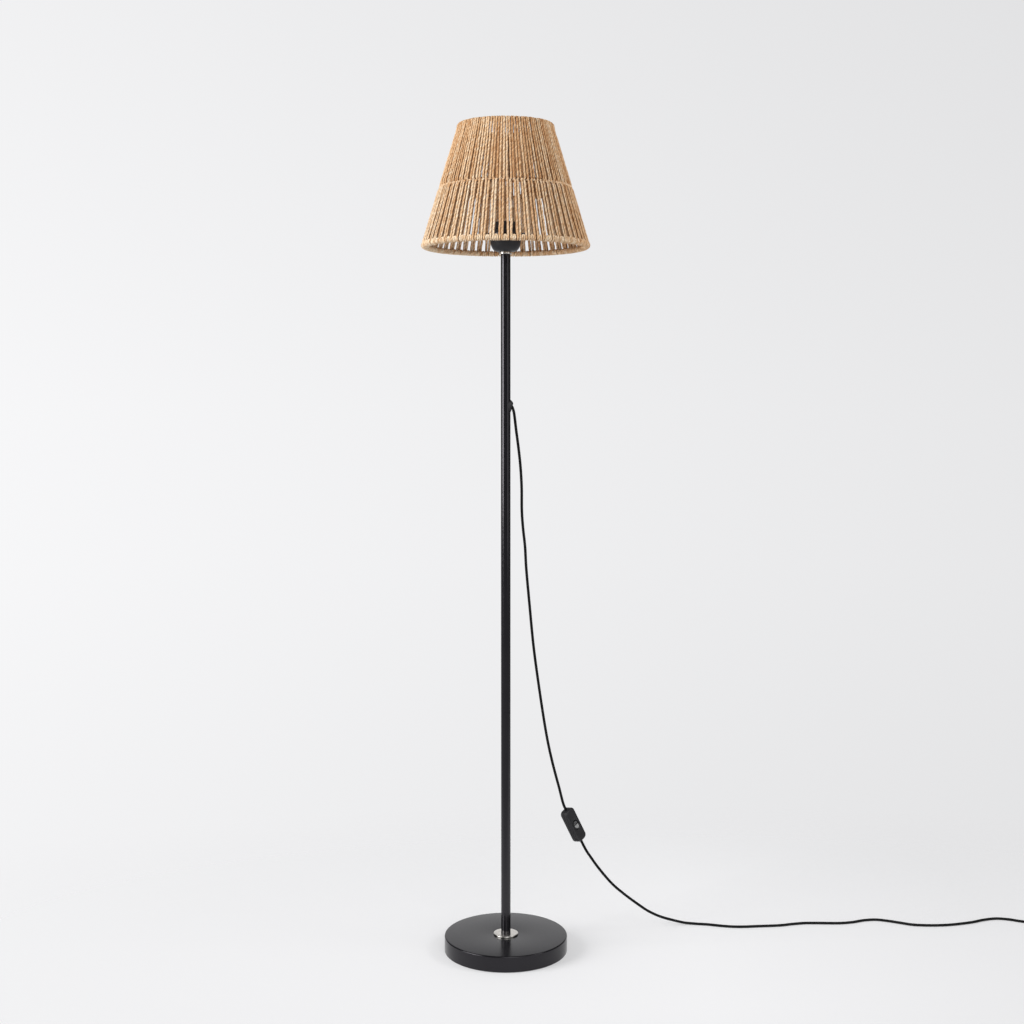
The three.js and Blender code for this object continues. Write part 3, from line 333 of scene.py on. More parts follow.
# Materials
class Look:
    """The nodes of a material or of the world, added and linked in short calls."""

    def __init__(self, owner, surface="Principled BSDF", place="Object", **sockets):
        owner.use_nodes = True
        self.owner = owner
        self.tree = owner.node_tree
        self.surface = self.tree.nodes[surface]
        self.coat(**sockets)
        self.place = self.node("TexCoord").outputs[place]

    def coat(self, **sockets):
        """Sets or links sockets of the surface itself, an underscore standing for a space."""
        for label, value in sockets.items():
            self.set(self.surface, label.replace("_", " "), value)

    def set(self, node, label, value):
        if isinstance(value, bpy.types.NodeSocket):
            self.tree.links.new(value, node.inputs[label])
        else:
            node.inputs[label].default_value = value

    def node(self, kind, inputs=None, **settings):
        made = self.tree.nodes.new("ShaderNode" + kind)
        for label, value in settings.items():
            setattr(made, label, value)
        for label, value in (inputs or {}).items():
            self.set(made, label, value)
        return made

    def attribute(self, name, output="Fac"):
        return self.node("Attribute", attribute_name=name).outputs[output]

    def number(self, operation, *values):
        return self.node("Math", dict(enumerate(values)), operation=operation).outputs[0]

    def noise(self, scale, detail=3, roughness=0.55, distortion=0, vector=None):
        """Noise of one scale, or of a scale for each axis."""
        vector = vector or self.place
        if isinstance(scale, tuple):
            vector = self.node("VectorMath", {0: vector, 1: scale}, operation="MULTIPLY").outputs[0]
            scale = 1
        inputs = {"Vector": vector, "Scale": scale, "Detail": detail, "Roughness": roughness}
        return self.node("TexNoise", {**inputs, "Distortion": distortion}).outputs["Fac"]

    def spread(self, value, low, high, start=0.3, end=0.7, kind="LINEAR"):
        """A value that runs from low to high while another runs from start to end."""
        inputs = {"Value": value, "From Min": start, "From Max": end, "To Min": low, "To Max": high}
        return self.node("MapRange", inputs, interpolation_type=kind).outputs["Result"]

    def ramp(self, value, stops):
        made = self.node("ValToRGB", {"Fac": value})
        elements = made.color_ramp.elements
        while len(elements) < len(stops):
            elements.new(0.5)
        for element, (position, color) in zip(elements, stops):
            element.position = position
            element.color = (*color, 1)
        return made.outputs["Color"]

    def blend(self, share, first, second):
        """A number between two numbers."""
        return self.node("Mix", {0: share, 2: first, 3: second}).outputs[0]

    def tinged(self, share, first, second):
        """A colour with a share of a second, plain one."""
        return self.node("Mix", {0: share, 6: first, 7: (*second, 1)}, data_type="RGBA").outputs[2]

    def bump(self, height, distance, strength, before=None):
        made = self.node("Bump", {"Height": height, "Distance": distance, "Strength": strength})
        if before is not None:
            self.set(made, "Normal", before)
        self.coat(Normal=made.outputs["Normal"])
        return made.outputs["Normal"]


def shader(name, color, roughness, **sockets):
    return Look(bpy.data.materials.new(name), Base_Color=(*color, 1), Roughness=roughness, **sockets)


def clouded(name, cloud, stops, gloss, relief, **sockets):
    """A material with a clouded colour, an even or uneven gloss and layers of fine relief."""
    even = isinstance(gloss, float)
    look = shader(name, stops[-1][1], gloss if even else gloss[-1], **sockets)
    look.coat(Base_Color=look.ramp(look.noise(*cloud), stops))
    if not even:
        noise, low, high = gloss
        look.coat(Roughness=look.spread(look.noise(*noise), low, high))
    normal = None
    for noise, distance, strength in relief:
        normal = look.bump(look.noise(*noise), distance, strength, normal)
    return look.owner


def powder_coat(name, low, high, level=0.5):
    """Satin black powder coat: a faint orange peel under a smooth skin."""
    stops = [(0.3, (0.0055, 0.0053, 0.0064)), (0.7, (0.0085, 0.0081, 0.0098))]
    peel, grain = ((420, 2), 0.000006, 0.5), ((1900, 2), 0.000002, 0.5)
    shine = {"Specular_IOR_Level": level, "Specular_Tint": (0.97, 0.935, 1, 1)}
    return clouded(name, (9, 4), stops, ((260, 4), low, high), [peel, grain], **shine)


def plated(name, color, low, high):
    """Plated or plain metal with fine turned streaks and slight clouding."""
    stops = [(0.35, tuple(0.86 * c for c in color)), (0.65, color)]
    streaks = ((900, 900, 6000), 3)
    return clouded(name, (130, 3), stops, (streaks, low, high), [(streaks, 0.000006, 0.6)], Metallic=1)


def plastic(name, color, low, high, level):
    """Moulded plastic with a fine eroded grain."""
    stops = [(0.3, color), (0.75, tuple(1.35 * c for c in color))]
    grain = ((2600, 2), 0.000025, 0.7)
    return clouded(name, (60, 3), stops, ((700, 3), low, high), [grain], Specular_IOR_Level=level)


def natural_fibre():
    """Twisted natural cord: fine fibres along the plies, each cord a little different in tone, with
    painted shade in the ply grooves and on the strands' flanks.
    """
    look = shader("natural_cord", (0.6, 0.4, 0.22), 0.8, Specular_IOR_Level=0.15)
    fibre = look.attribute("fibre", "Vector")
    strands = look.noise((1500, 1500, 230), 3, 0.65, vector=fibre)
    long_tone = look.noise((240, 240, 60), 3, 0.6, vector=fibre)
    flecks = look.noise((520, 520, 300), 2, vector=fibre)
    tone = look.spread(strands, 0, 0.40, 0.25, 0.75)
    tone = look.number("ADD", tone, look.spread(long_tone, 0, 0.38, 0.25, 0.75))
    # Each cord's own tone, plus painted light: a lighter lower tier and rim loops, darker towards the
    # right
    tone = look.number("MULTIPLY_ADD", look.attribute("tone_and_painted_light"), 0.26, tone)
    stops = [
        (0.16, (0.29, 0.108, 0.032)),
        (0.34, (0.53, 0.268, 0.115)),
        (0.56, (0.80, 0.520, 0.288)),
        (0.82, (0.96, 0.800, 0.590)),
    ]
    brown = look.spread(flecks, 0, 0.7, 0.54, 0.68)
    color = look.tinged(brown, look.ramp(tone, stops), (0.34, 0.140, 0.048))
    # Painted shade in the grooves between the plies
    groove = look.spread(look.attribute("hollow"), 0, 0.32, 0.4, 1)
    color = look.tinged(groove, color, (0.20, 0.085, 0.030))
    # Painted shade on the flanks where strands press together, as if in deep crevices
    painted_crevice_shade = look.spread(look.attribute("flank"), 0, 0.92, 0.56, 0.9)
    color = look.tinged(painted_crevice_shade, color, (0.11, 0.034, 0.007))
    look.coat(Base_Color=color, Roughness=look.spread(strands, 0.7, 0.92))
    look.coat(Sheen_Weight=0.08, Sheen_Roughness=0.4)
    look.bump(flecks, 0.00018, 0.6, look.bump(strands, 0.0004, 0.9))
    return look.owner


def woven_jacket():
    """Black textile jacket over laid cores: a tight braid of fine yarns, with a painted highlight on the
    plies' crests.
    """
    look = shader("cord_black", (0.003, 0.003, 0.0032), 0.6, Specular_IOR_Level=0.16)
    fibre = look.attribute("fibre", "Vector")
    yarn = look.noise((2400, 2400, 900), 2, 0.5, vector=fibre)
    cloud = look.noise((160, 160, 60), 3, 0.5, vector=fibre)
    color = look.ramp(yarn, [(0.35, (0.0012, 0.0012, 0.0014)), (0.7, (0.005, 0.005, 0.0054))])
    # Painted highlight: the plies' crests are lighter than their grooves
    lift = look.spread(look.attribute("hollow"), 0.5, 0, 0, 0.6)
    color = look.tinged(lift, color, (0.007, 0.007, 0.0074))
    look.coat(Base_Color=color, Roughness=look.spread(cloud, 0.5, 0.68))
    look.bump(yarn, 0.00012, 0.8)
    return look.owner


def rough_mass(name, grit, stops, roughness, strength, level):
    """Felt or bare casting: one noise for its colour and its relief."""
    return clouded(name, grit, stops, roughness, [(grit, 0.0003, strength)], Specular_IOR_Level=level)


GRIT = (420, 6, 0.7)
IRON = [(0.35, (0.15, 0.145, 0.135)), (0.7, (0.3, 0.29, 0.275))]
HAIRS = (1600, 5, 0.7, 1.5)
WOOL = [(0.35, (0.02, 0.02, 0.022)), (0.7, (0.07, 0.07, 0.075))]
CLAY = [(0.35, (0.7, 0.67, 0.6)), (0.7, (0.82, 0.8, 0.75))]
MATERIALS = {
    "black_paint": powder_coat("black_paint", 0.14, 0.19),
    "nickel": plated("nickel", (0.80, 0.77, 0.72), 0.2, 0.32),
    "zinc_steel": plated("zinc_steel", (0.62, 0.63, 0.65), 0.3, 0.45),
    "brass": plated("brass", (0.78, 0.58, 0.26), 0.24, 0.38),
    "cast_weight": rough_mass("cast_weight", GRIT, IRON, 0.9, 0.6, 0.2),
    "felt": rough_mass("felt", HAIRS, WOOL, 0.95, 0.8, 0.1),
    "ceramic": clouded("ceramic", (300, 4), CLAY, 0.55, [((2500, 2), 0.00002, 0.5)]),
    "black_plastic": plastic("black_plastic", (0.0155, 0.0148, 0.0168), 0.42, 0.54, 0.38),
    "rocker_grey": plastic("rocker_grey", (0.014, 0.014, 0.0145), 0.2, 0.27, 0.8),
    "cord_black": woven_jacket(),
    "natural_cord": natural_fibre(),
}
SLOTS = {entry["node"]: entry["material_slot"] for entry in frame["record"]["subparts"]}
for label, thing in frame["nodes"].items():
    for entry in thing.material_slots:
        entry.material = MATERIALS[SLOTS[label]]


def settle(thing, body, slot, replaced=()):
    """Gives a finished piece its material, its body and the CAD nodes that it stands for."""
    thing.data.materials.clear()
    thing.data.materials.append(MATERIALS[slot])
    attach(thing, body)
    if replaced:
        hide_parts(*replaced)
    return thing


def settle_for(piece, node):
    """Lets a finer piece stand for a CAD node, on its body and with its material."""
    return settle(piece, frame["nodes"][node]["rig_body"], SLOTS[node], (node,))


# The free cord, from the pole to the switch and from the switch to the plug. Sizes as in the CAD
CORD_RADIUS = 2.5
EXIT_HEIGHT = 1005.2
EXIT_LEAN = math.radians(42)
EXIT_TURN = math.radians(-10)
WALL_MIDDLE = 8.25
SWITCH_LENGTH = 67
CORD_GAP = 0.3
FLOOR_GAP = 0.1
SWITCH_PLACE = np.array([125.9, 46.3, 222])
SWITCH_ALONG = unit(np.array([30.2, 12.7, -65]))
UPPER_ROUTE = [
    (14.3, 0.4, 993.4), (15.9, 1.8, 983.8), (18.9, 3.2, 958.6), (22.7, 4.7, 929.8),
    (26.6, 6.3, 893.6), (28.7, 7.1, 857.4), (29.2, 7.3, 812), (31.4, 8.2, 781),
    (35, 9.6, 748), (37, 10.4, 711.4), (43.6, 13, 637.7), (50.8, 15.9, 563.5),
    (60.8, 19.9, 488.5), (72.3, 24.5, 412.9), (79.3, 27.3, 374.8), (88.1, 30.8, 336.3),
    (98.3, 34.9, 297.4),
]
LOWER_ROUTE = [
    (150.9, 56, 169.4), (158.7, 59.1, 156.8), (175.6, 65.8, 131.5), (201.9, 76.4, 97.9),
    (225.5, 85.8, 74.9), (249.3, 95.3, 54.2), (273.3, 104.9, 35.1), (297.2, 113.6, 21.3),
    (321.4, 121.6, 11.6), (345.3, 126.8, 4.4),
]
FLOOR_ROUTE = [
    (368.4, 125.7), (391, 121.7), (413.3, 115), (435.7, 110.4), (458.7, 109.9), (482.2, 112.4),
    (529.4, 117.4), (553.8, 124.3), (578.1, 129.3), (601.4, 129.7), (647.8, 129.3), (672.2, 134.3),
    (698.1, 145), (722.2, 147.9), (743.8, 140.8), (764.4, 130.7), (785, 120.9), (807.3, 117.5),
    (830.3, 117.2), (854.2, 119.6), (879.3, 125.9), (905.2, 134.6), (932.8, 147.8), (958.2, 154.1),
    (980.2, 149.6), (1000.1, 139.6), (1022, 132),
]
COIL_TURNS = 3.25
COIL_MEAN_RADIUS = 27.5
COIL_PITCH = 5.5
COIL_TAIL = 30
COIL_LEAD = 5
COIL_CENTRE = np.array([1050, 98, FLOOR_GAP])
COIL_POINTS = 900
# Sides, depth of the plies' grooves, plies, and the length of one twist
CORD_TWIST = (18, 0.06, 3, 13 * MM)
# The plies' crests stand out a little, so that the jacket keeps its width on the whole
CORD_FULLNESS = 1.03


def on_exit_axis(distance):
    """A point on the line along which the cord leaves the pole, from the middle of its wall."""
    out = WALL_MIDDLE + distance * math.sin(EXIT_LEAN)
    return about_pole(out, EXIT_TURN, EXIT_HEIGHT - distance * math.cos(EXIT_LEAN))


def on_switch_axis(distance):
    return SWITCH_PLACE + SWITCH_ALONG * distance


def coil_points(count):
    """The coil's own line: in on the floor, up one layer where the spiral reverses, out on top."""
    turn_length = COIL_TURNS * TURN * COIL_MEAN_RADIUS
    along = np.linspace(0, 1, count) * (COIL_LEAD + turn_length + COIL_TAIL) - COIL_LEAD
    clamped = np.clip(along / turn_length, 0, 1)
    half_turn = COIL_TURNS * math.pi
    angle = (2 * clamped - 1) * half_turn
    radius = COIL_MEAN_RADIUS - COIL_PITCH * COIL_TURNS / 4 + COIL_PITCH * np.abs(angle) / TURN
    climb = np.clip((angle + math.pi / 2) / math.pi, 0, 1)
    height = CORD_RADIUS + COIL_PITCH * climb**2 * (3 - 2 * climb)
    bearing = math.pi / 2 - (angle + half_turn)
    beyond = along - clamped * turn_length
    onward = np.stack([beyond * np.sin(bearing), -beyond * np.cos(bearing), 0 * beyond], 1)
    return COIL_CENTRE + about_pole(radius, bearing, height) + onward


def make_cord(name, path, replaced):
    """A cord along a path in millimetres, and the path itself in metres."""
    bundle = Bundle(*CORD_TWIST)
    path = spaced(path * MM, bundle.step)
    bundle.add(path, CORD_RADIUS * MM * CORD_FULLNESS, (0.1, 1, 0))
    return settle(bundle.build(name), "lamp", "cord_black", replaced), path


def make_cords():
    half = SWITCH_LENGTH / 2 + CORD_GAP
    start = [on_exit_axis(distance * CORD_RADIUS) for distance in (0, 1, 2)]
    stop = [on_switch_axis(-half - 4 * CORD_RADIUS), on_switch_axis(-half)]
    upper = smooth_curve(start + UPPER_ROUTE + stop)
    coil = coil_points(COIL_POINTS)
    meeting = coil[0] - (CORD_GAP, 0, 0)
    start = [on_switch_axis(half), on_switch_axis(half + 4 * CORD_RADIUS)]
    lying = [(x, y, CORD_RADIUS + FLOOR_GAP) for x, y in FLOOR_ROUTE]
    stop = [meeting - (2 * CORD_RADIUS, 0, 0), meeting]
    lower = smooth_curve(start + LOWER_ROUTE + lying + stop)
    one = make_cord("cord_pole_to_switch", upper, ("cord_upper",))
    two = make_cord("cord_switch_to_plug", np.vstack([lower, coil]), ("cord_lower", "cord_coil"))
    return one, two


(cord_one, path_one), (cord_two, path_two) = make_cords()

# Shade. The crest is the outer face of the winding, a cone through the widest points of the rims
TOP_RADIUS = 85.8
TOP_CREST = 1495.4
CREST_SLOPE = 0.3095
PAIRS = 61
FRONT = math.radians(-90)
MIDDLE_HEIGHT = 1388
TOP_RING = (80.8, 1496.2)
MIDDLE_RING = (112.6, MIDDLE_HEIGHT)
BOTTOM_RING = (142.4, 1285.4)
RING_WIRE = 1.5
STRAND_TWIST = (8, 0.07, 2)
STRAND_LAY = 15 * MM
# Widths of a strand and the heights that they are for
WIDTHS = (4.2, 5.0, 5.0, 4.8, 4.76, 4.74, 4.64)
WIDTH_HEIGHTS = (1283, 1296, 1330, 1388, 1440, 1470, 1500)
# Lengths of the waves in which a strand wanders, and the gap and size of its lumps
WAVES = (0.11, 0.055, 0.03)
LUMP_GAP = 0.0036
LUMP_SIZE = 0.045
# How far, in shares of a pair, the spacing drifts at the shade's back, and over which angles
DRIFT_SHIFT = -0.07
DRIFT_REACH = 0.29
DRIFT_ANGLE = math.radians(12)
DRIFT_FADE = np.radians([60, 150])
UPPER_SHIFT = 0.25
UPPER_ANGLE = math.radians(20)
# How unevenly the pairs and strands lie, in millimetres, and how calm they are at the middle ring
PAIR_SHIFT = 0.3
PAIR_GAP = (0.04, 0.24)
STRAND_DRIFT = 0.12
STRAND_DEPTH = (0.12, 0.08)
CALM_REACH = 12
CALM_SHARE = 0.35
# How unevenly they are made, in shares of their width and lay
WIDTH_SPREAD = (0.03, 0.025)
LAY_SPREAD = (0.92, 1.08)
# How much fuller the lower tier's strands are at the shade's back
FULLER = 0.12
FULLER_HEIGHTS = (1300, 1320, 1386, 1400)
# The loops round the bottom ring: their cord, half the gap between their legs, and their top
LOOP_RADIUS = 1.85
LOOP_LAY = 12 * MM
LOOP_LEG = 1.75
LOOP_TOP = 1289.6
RIM_RADIUS = 0.148
# The cord bound round the middle ring: its path, its size and the points in one of its turns
BINDING_MIDDLE = 113.3
BINDING_HALF = (3.7, 1.3)
BINDING_RADIUS = 1.75
BINDING_LAY = 9 * MM
BINDING_STEPS = 14


def crest(height):
    return TOP_RADIUS + CREST_SLOPE * (TOP_CREST - height)


def cord_width(height):
    """A strand is pulled tight and narrow at the top and lies looser towards the bottom."""
    return np.interp(height, WIDTH_HEIGHTS, WIDTHS)


def on_wall(height):
    """The middle line of a strand that lies on the shade's outer face."""
    return crest(height) - cord_width(height) / 2 * math.hypot(1, CREST_SLOPE)


def loop_points(centre, wide, tall, start, stop, steps=9):
    angles = np.radians(np.linspace(start, stop, steps))
    return np.stack([centre[0] + wide * np.cos(angles), centre[1] + tall * np.sin(angles)], 1)


def tier_profile(side, out, heights):
    """A strand's wall and the turn round the middle ring, for the tier above it or below it."""
    ring = MIDDLE_RING[0]
    turn_in = [
        (ring - 4.2, MIDDLE_HEIGHT + side * 0.8),
        (ring - 2.6, MIDDLE_HEIGHT + side * 3.2),
        (ring + out, MIDDLE_HEIGHT + side * 2.5),
        (on_wall(MIDDLE_HEIGHT + side * 3) - 0.7, MIDDLE_HEIGHT + side * 2.7),
    ]
    return turn_in + [(on_wall(h), h) for h in (MIDDLE_HEIGHT + side * 4.6, *heights)]


def upper_profile():
    loop = loop_points((TOP_RING[0] + 0.1, 1495.5), 3.3, 2.5, 245, 0)
    return np.vstack([loop, tier_profile(1, 1.6, (1410, 1440, 1470, 1489))[::-1]])


def lower_profile():
    loop = loop_points((143.65, 1286.7), 4.7, 3.1, 0, -245, 11)
    return np.vstack([tier_profile(-1, 2.2, (1360, 1330, 1305, 1293)), loop])


def wander(count, step, size):
    """A slow sideways drift along a strand."""
    along = np.arange(count) * step
    drift = np.zeros(count)
    for wave in WAVES:
        drift += random.normal(0, size) * np.sin(along / wave * TURN + random.uniform(0, TURN))
    return drift


def lumps(count, step):
    """Thick and thin spots, some 7 mm apart, as loosely spun cord has."""
    places = np.arange(count) * step / LUMP_GAP
    values = random.normal(0, LUMP_SIZE, int(places[-1]) + 3)
    return np.interp(places, np.arange(len(values)), values)


def uneven(turned, upper=False):
    """The spacing drifts a little at the back, as it does when a shade is wound by hand."""
    behind = (math.pi / 2 - turned + math.pi) % TURN - math.pi
    drift = DRIFT_SHIFT + DRIFT_REACH * math.tanh(behind / DRIFT_ANGLE)
    if upper:
        drift += UPPER_SHIFT * math.exp(-((behind / UPPER_ANGLE) ** 2))
    fade = np.interp(abs(behind), DRIFT_FADE, [1, 0])
    return turned - drift * fade * TURN / PAIRS


def finish_strands(bundle, name, most, replaced=()):
    """Marks how far each spot faces its neighbours, where painted shade darkens the cord as if in the
    crevices between strands.
    """
    piece = bundle.build(name)
    mesh = piece.data
    places, normals = np.empty((2, 3 * len(mesh.vertices)))
    mesh.vertices.foreach_get("co", places)
    mesh.vertices.foreach_get("normal", normals)
    places, normals = places.reshape(-1, 3), normals.reshape(-1, 3)
    radius = np.linalg.norm(places[:, :2], axis=1)
    sideways = (normals[:, 1] * places[:, 0] - normals[:, 0] * places[:, 1]) / radius
    outward = (normals[:, 0] * places[:, 0] + normals[:, 1] * places[:, 1]) / radius
    # Painted crevice shade: strongest on flanks that face the neighbours, weaker where the cord faces the
    # shade's inside
    values = np.abs(sideways) * most * np.clip(1.15 + outward, 0.3, 1)
    mesh.attributes.new("flank", "FLOAT", "POINT").data.foreach_set("value", values.astype(np.float32))
    settle(piece, "shade", "natural_cord", replaced)


def make_strands(name, profile, phase, replaced):
    """A tier of pairs, each of two strands with a width, a place and a tone of their own, the lower
    tier's tone raised as painted light, most on the left.
    """
    bundle = Bundle(*STRAND_TWIST, STRAND_LAY)
    fine = smooth_curve(profile, 12) * MM
    for pair in range(PAIRS):
        middle = uneven(FRONT + (pair + phase) / PAIRS * TURN, phase == 0)
        first_side = (-math.sin(middle), math.cos(middle), 0)
        behind = max(0, math.sin(middle)) ** 0.5
        right = math.cos(middle)
        fuller = (0.1 if right > 0.1 else 0, FULLER, FULLER, 0.09 if right < -0.05 else 0.02)
        pair_shift = random.normal(0, PAIR_SHIFT) * (1 if phase else 0.8)
        opened = max(0, random.normal(*PAIR_GAP))
        for side in (-1, 1):
            step = bundle.step * random.uniform(*LAY_SPREAD)
            line = spaced(fine, step)
            radius, height = line[:, 0], line[:, 1] / MM
            count = len(line)
            width = cord_width(height) * random.normal(1, WIDTH_SPREAD[0])
            width = width * (1 + wander(count, step, WIDTH_SPREAD[1]) + lumps(count, step))
            width = width * (1 + behind * np.interp(height, FULLER_HEIGHTS, fuller))
            calm = np.clip(np.abs(height - MIDDLE_HEIGHT) / CALM_REACH, CALM_SHARE, 1)
            drift = wander(count, step, STRAND_DRIFT) * calm
            offset = side * (width / 2 * 0.97 + opened * calm) + pair_shift + drift
            angle = middle + offset * MM / radius
            depth = random.normal(0, STRAND_DEPTH[0]) + wander(count, step, STRAND_DEPTH[1])
            radius = radius + depth * MM
            path = about_pole(radius, angle, line[:, 1])
            # A random tone, with painted light: the lower tier lighter, most on the left side and least
            # on the right
            tone_and_painted_light = random.uniform(0, 1) + phase * (0.6 - 0.4 * right)
            bundle.add(path, width * MM / 2, first_side, tone_and_painted_light, random.uniform(0, 8))
    finish_strands(bundle, name, 1, replaced)


def make_rim_loops():
    """In each gap at the bottom rim a loop comes up round the ring, arches over and goes back down."""
    bundle = Bundle(*STRAND_TWIST, LOOP_LAY)
    around = loop_points((143.6, 1286.5), 4.85, 3.3, -225, 0, 13)
    legs = [flat_row(around, side * LOOP_LEG) for side in (-1, 1)]
    for gap in range(PAIRS):
        middle = uneven(FRONT + gap / PAIRS * TURN) + random.normal(0, 0.25) * MM / RIM_RADIUS
        turned = np.linspace(0, 1, 7) * math.pi
        height = LOOP_TOP + random.normal(0, 0.3) + 1.5 * np.sin(turned)
        arch = np.stack([crest(height) - 2, height, -LOOP_LEG * np.cos(turned)], 1)
        points = np.vstack([legs[0], arch, legs[1][::-1]])
        points[:, 2] *= random.normal(1, 0.04)
        line = spaced(smooth_curve(points, 8) * MM, bundle.step)
        path = about_pole(line[:, 0], middle + line[:, 2] / line[:, 0], line[:, 1])
        # A random tone, with painted light: the loops lighter than the strands and darker towards the
        # right side
        tone_and_painted_light = random.uniform(1.1, 1.6) - 0.5 * max(0, math.cos(middle))
        first_side = (-math.sin(middle), math.cos(middle), 0)
        bundle.add(path, LOOP_RADIUS * MM, first_side, tone_and_painted_light, random.uniform(0, 8))
    finish_strands(bundle, "rim_loops", 0.88)


def make_middle_binding():
    """A thinner cord bound round the middle ring, one turn for each strand."""
    bundle = Bundle(*STRAND_TWIST, BINDING_LAY)
    count = 2 * PAIRS
    turns = np.arange(count * BINDING_STEPS + 1) / BINDING_STEPS
    shifts, reach = (
        np.interp(turns, np.arange(count + 1), random.normal(0, size, count + 1)) for size in (0.09, 0.12)
    )
    swing = turns * TURN
    radius = BINDING_MIDDLE + (BINDING_HALF[0] + reach) * np.cos(swing)
    height = MIDDLE_HEIGHT + BINDING_HALF[1] * np.sin(swing)
    path = about_pole(radius, (turns + shifts) / count * TURN, height)
    bundle.add(spaced(path * MM, bundle.step), BINDING_RADIUS * MM, (0, 0, 1), 0.9)
    finish_strands(bundle, "middle_binding", 0)


make_strands("strands_upper", upper_profile(), 0, ("winding_upper",))
make_strands("strands_lower", lower_profile(), 0.5, ("winding_lower",))
make_rim_loops()
make_middle_binding()


# Metal and plastic pieces, with finer curves and edges than the CAD
def make_turned(name, node, outline, sides=96, *more):
    return settle_for(lathe(name, outline, sides, *more), node)


def elbow(centre, wide, tall, start, stop, steps):
    """Outline points, without rounding, round part of an oval."""
    return [(x, z, 0) for x, z in loop_points(centre, wide, tall, start, stop, steps)]


def make_foot():
    outline = [
        (111.5, 1.2, 0.3), (113, 1.2, 0.5), (113, 29.9, 2.2), (5.15, 29.9, 0.3), (5.15, 28.4, 0.2),
        (111.5, 28.4, 1),
    ]
    cover = make_turned("foot_cover", "base_cover", outline, 160)
    cover.data.materials[0] = powder_coat("black_paint_foot", 0.17, 0.23, 0.36)
    outline = [(5.15, 30.1, 0.2), (22.6, 30.1, 0.3), (22.6, 32.3, 0.9), (5.15, 32.3, 0.3)]
    make_turned("foot_plate", "foot_disc", outline, 120)


def thread(pitch, depth, low, high, fade=1.2):
    """A shift for lathe() that cuts a round thread into a wall between two heights."""

    def shift(radius, height, angle):
        near = np.clip((height - low * MM) / (fade * MM), 0, 1)
        near = near * np.clip((high * MM - height) / (fade * MM), 0, 1)
        wave = (1 - np.cos((height / (pitch * MM) - angle / TURN) * TURN)) / 2
        return -depth * MM * wave * near

    return shift


def grips(count, depth, low, high, least):
    """A shift for lathe() that cuts upright grip grooves into an outer face."""

    def shift(radius, height, angle):
        inside = (height > low * MM) & (height < high * MM) & (radius > least * MM)
        return -depth * MM * np.clip(1.5 * np.cos(angle * count) - 0.4, 0, 1) * inside

    return shift


def rows_between(radius, low, high, step):
    heights = np.linspace(low, high, max(2, round(abs(high - low) / step)))
    return [(radius, height, 0) for height in heights]


SLEEVE_TOP = 1328.9
CUP_BOTTOM = 1277.0
CUP_TOP = 1303.5
CLAMP_BOTTOM = 1308.5
SHELL_BOTTOM = 1306.5


def make_lampholder():
    outline = [(5.15, 1272.4, 0.2), (11, 1272.4, 0.8), (11, 1276.8, 0.8), (5.15, 1276.8, 0.2)]
    make_turned("collar", "top_collar", outline)
    curve = (15.5, CUP_BOTTOM + 21)
    outline = (
        [(5.25, CUP_BOTTOM, 0.2)]
        + elbow(curve, 12.1, 21, -90, 0, 16)
        + [(27.6, CUP_TOP, 0.5), (25.8, CUP_TOP, 0.3)]
        + elbow(curve, 10.3, 19.2, 0, -90, 16)
        + [(5.25, CUP_BOTTOM + 1.8, 0.2)]
    )
    make_turned("cup", "holder_cup", outline, 120)
    outline = (
        [(17.2, 1298.3, 0.3), (25.5, 1298.3, 0.4), (25.5, 1303.7, 0), (27.6, 1303.7, 0.4)]
        + [(27.6, 1305.7, 0.6), (19.6, 1305.7, 0.2)]
        + rows_between(19.6, 1307, SLEEVE_TOP - 0.8, 0.42)
        + [(19.1, SLEEVE_TOP, 0.4), (14.4, SLEEVE_TOP, 0.4)]
        + [(14.4, SLEEVE_TOP - 2.5, 0.3), (17.2, SLEEVE_TOP - 2.5, 0.2)]
    )
    make_turned("sleeve", "holder_sleeve", outline, 120, thread(2.6, 0.7, 1306.6, SLEEVE_TOP - 0.2), 50)
    low, high = CLAMP_BOTTOM, CLAMP_BOTTOM + 7
    outline = (
        [(19.9, low, 0.4), (25, low, 0.5), (25, low + 1.8, 0.5), (23.6, low + 1.8, 0.2)]
        + rows_between(23.6, low + 2.3, high - 1.2, 1)
        + [(23.6, high, 0.8), (19.9, high, 0.5)]
    )
    make_turned("screwed_ring", "clamp_ring", outline, 288, grips(36, 0.7, low + 2, high + 1, 23), 50)
    low, high = SHELL_BOTTOM, SLEEVE_TOP - 2.8
    outline = (
        [(13.4, low, 0), (13.9, low, 0)]
        + rows_between(13.9, low + 0.3, high - 0.3, 0.45)
        + [(13.9, high, 0), (13.4, high, 0)]
        + rows_between(13.4, high - 0.3, low + 0.3, 0.45)
    )
    wall = thread(3.6, 0.75, low + 0.4, high - 0.4, 2)
    make_turned("socket_shell", "holder_screw_shell", outline, 96, wall, 60)


def make_wire_rings():
    for label, ring in (("top", TOP_RING), ("middle", MIDDLE_RING), ("bottom", BOTTOM_RING)):
        outline = elbow(ring, RING_WIRE, RING_WIRE, 0, 330, 12)
        make_turned("wire_" + label, "shade_ring_" + label, outline, 144)


# The inline switch, built lying along X with the rocker's face up
SWITCH_WIDTH = 25
SWITCH_THICKNESS = 16.5
SWITCH_CORNER = 8
SWITCH_ROUNDING = 3
SWITCH_WALL = 1.8
SWITCH_STEPS = 96
SEAM_HALF = 0.15
ROCKER_OPENING = (9.6, 7.5)
ROCKER_HALF = (8.0, 6.2)
SKIRT_HALF = (9.15, 7.1)
ROCKER_PIVOT = SWITCH_THICKNESS / 2 - 3.3
ROCKER_REST = math.radians(-7)
SCREW_PLACE = (21, 7.4, 0)
SCREW_HEAD = 2.9
SCREW_SHAFT = 1.7


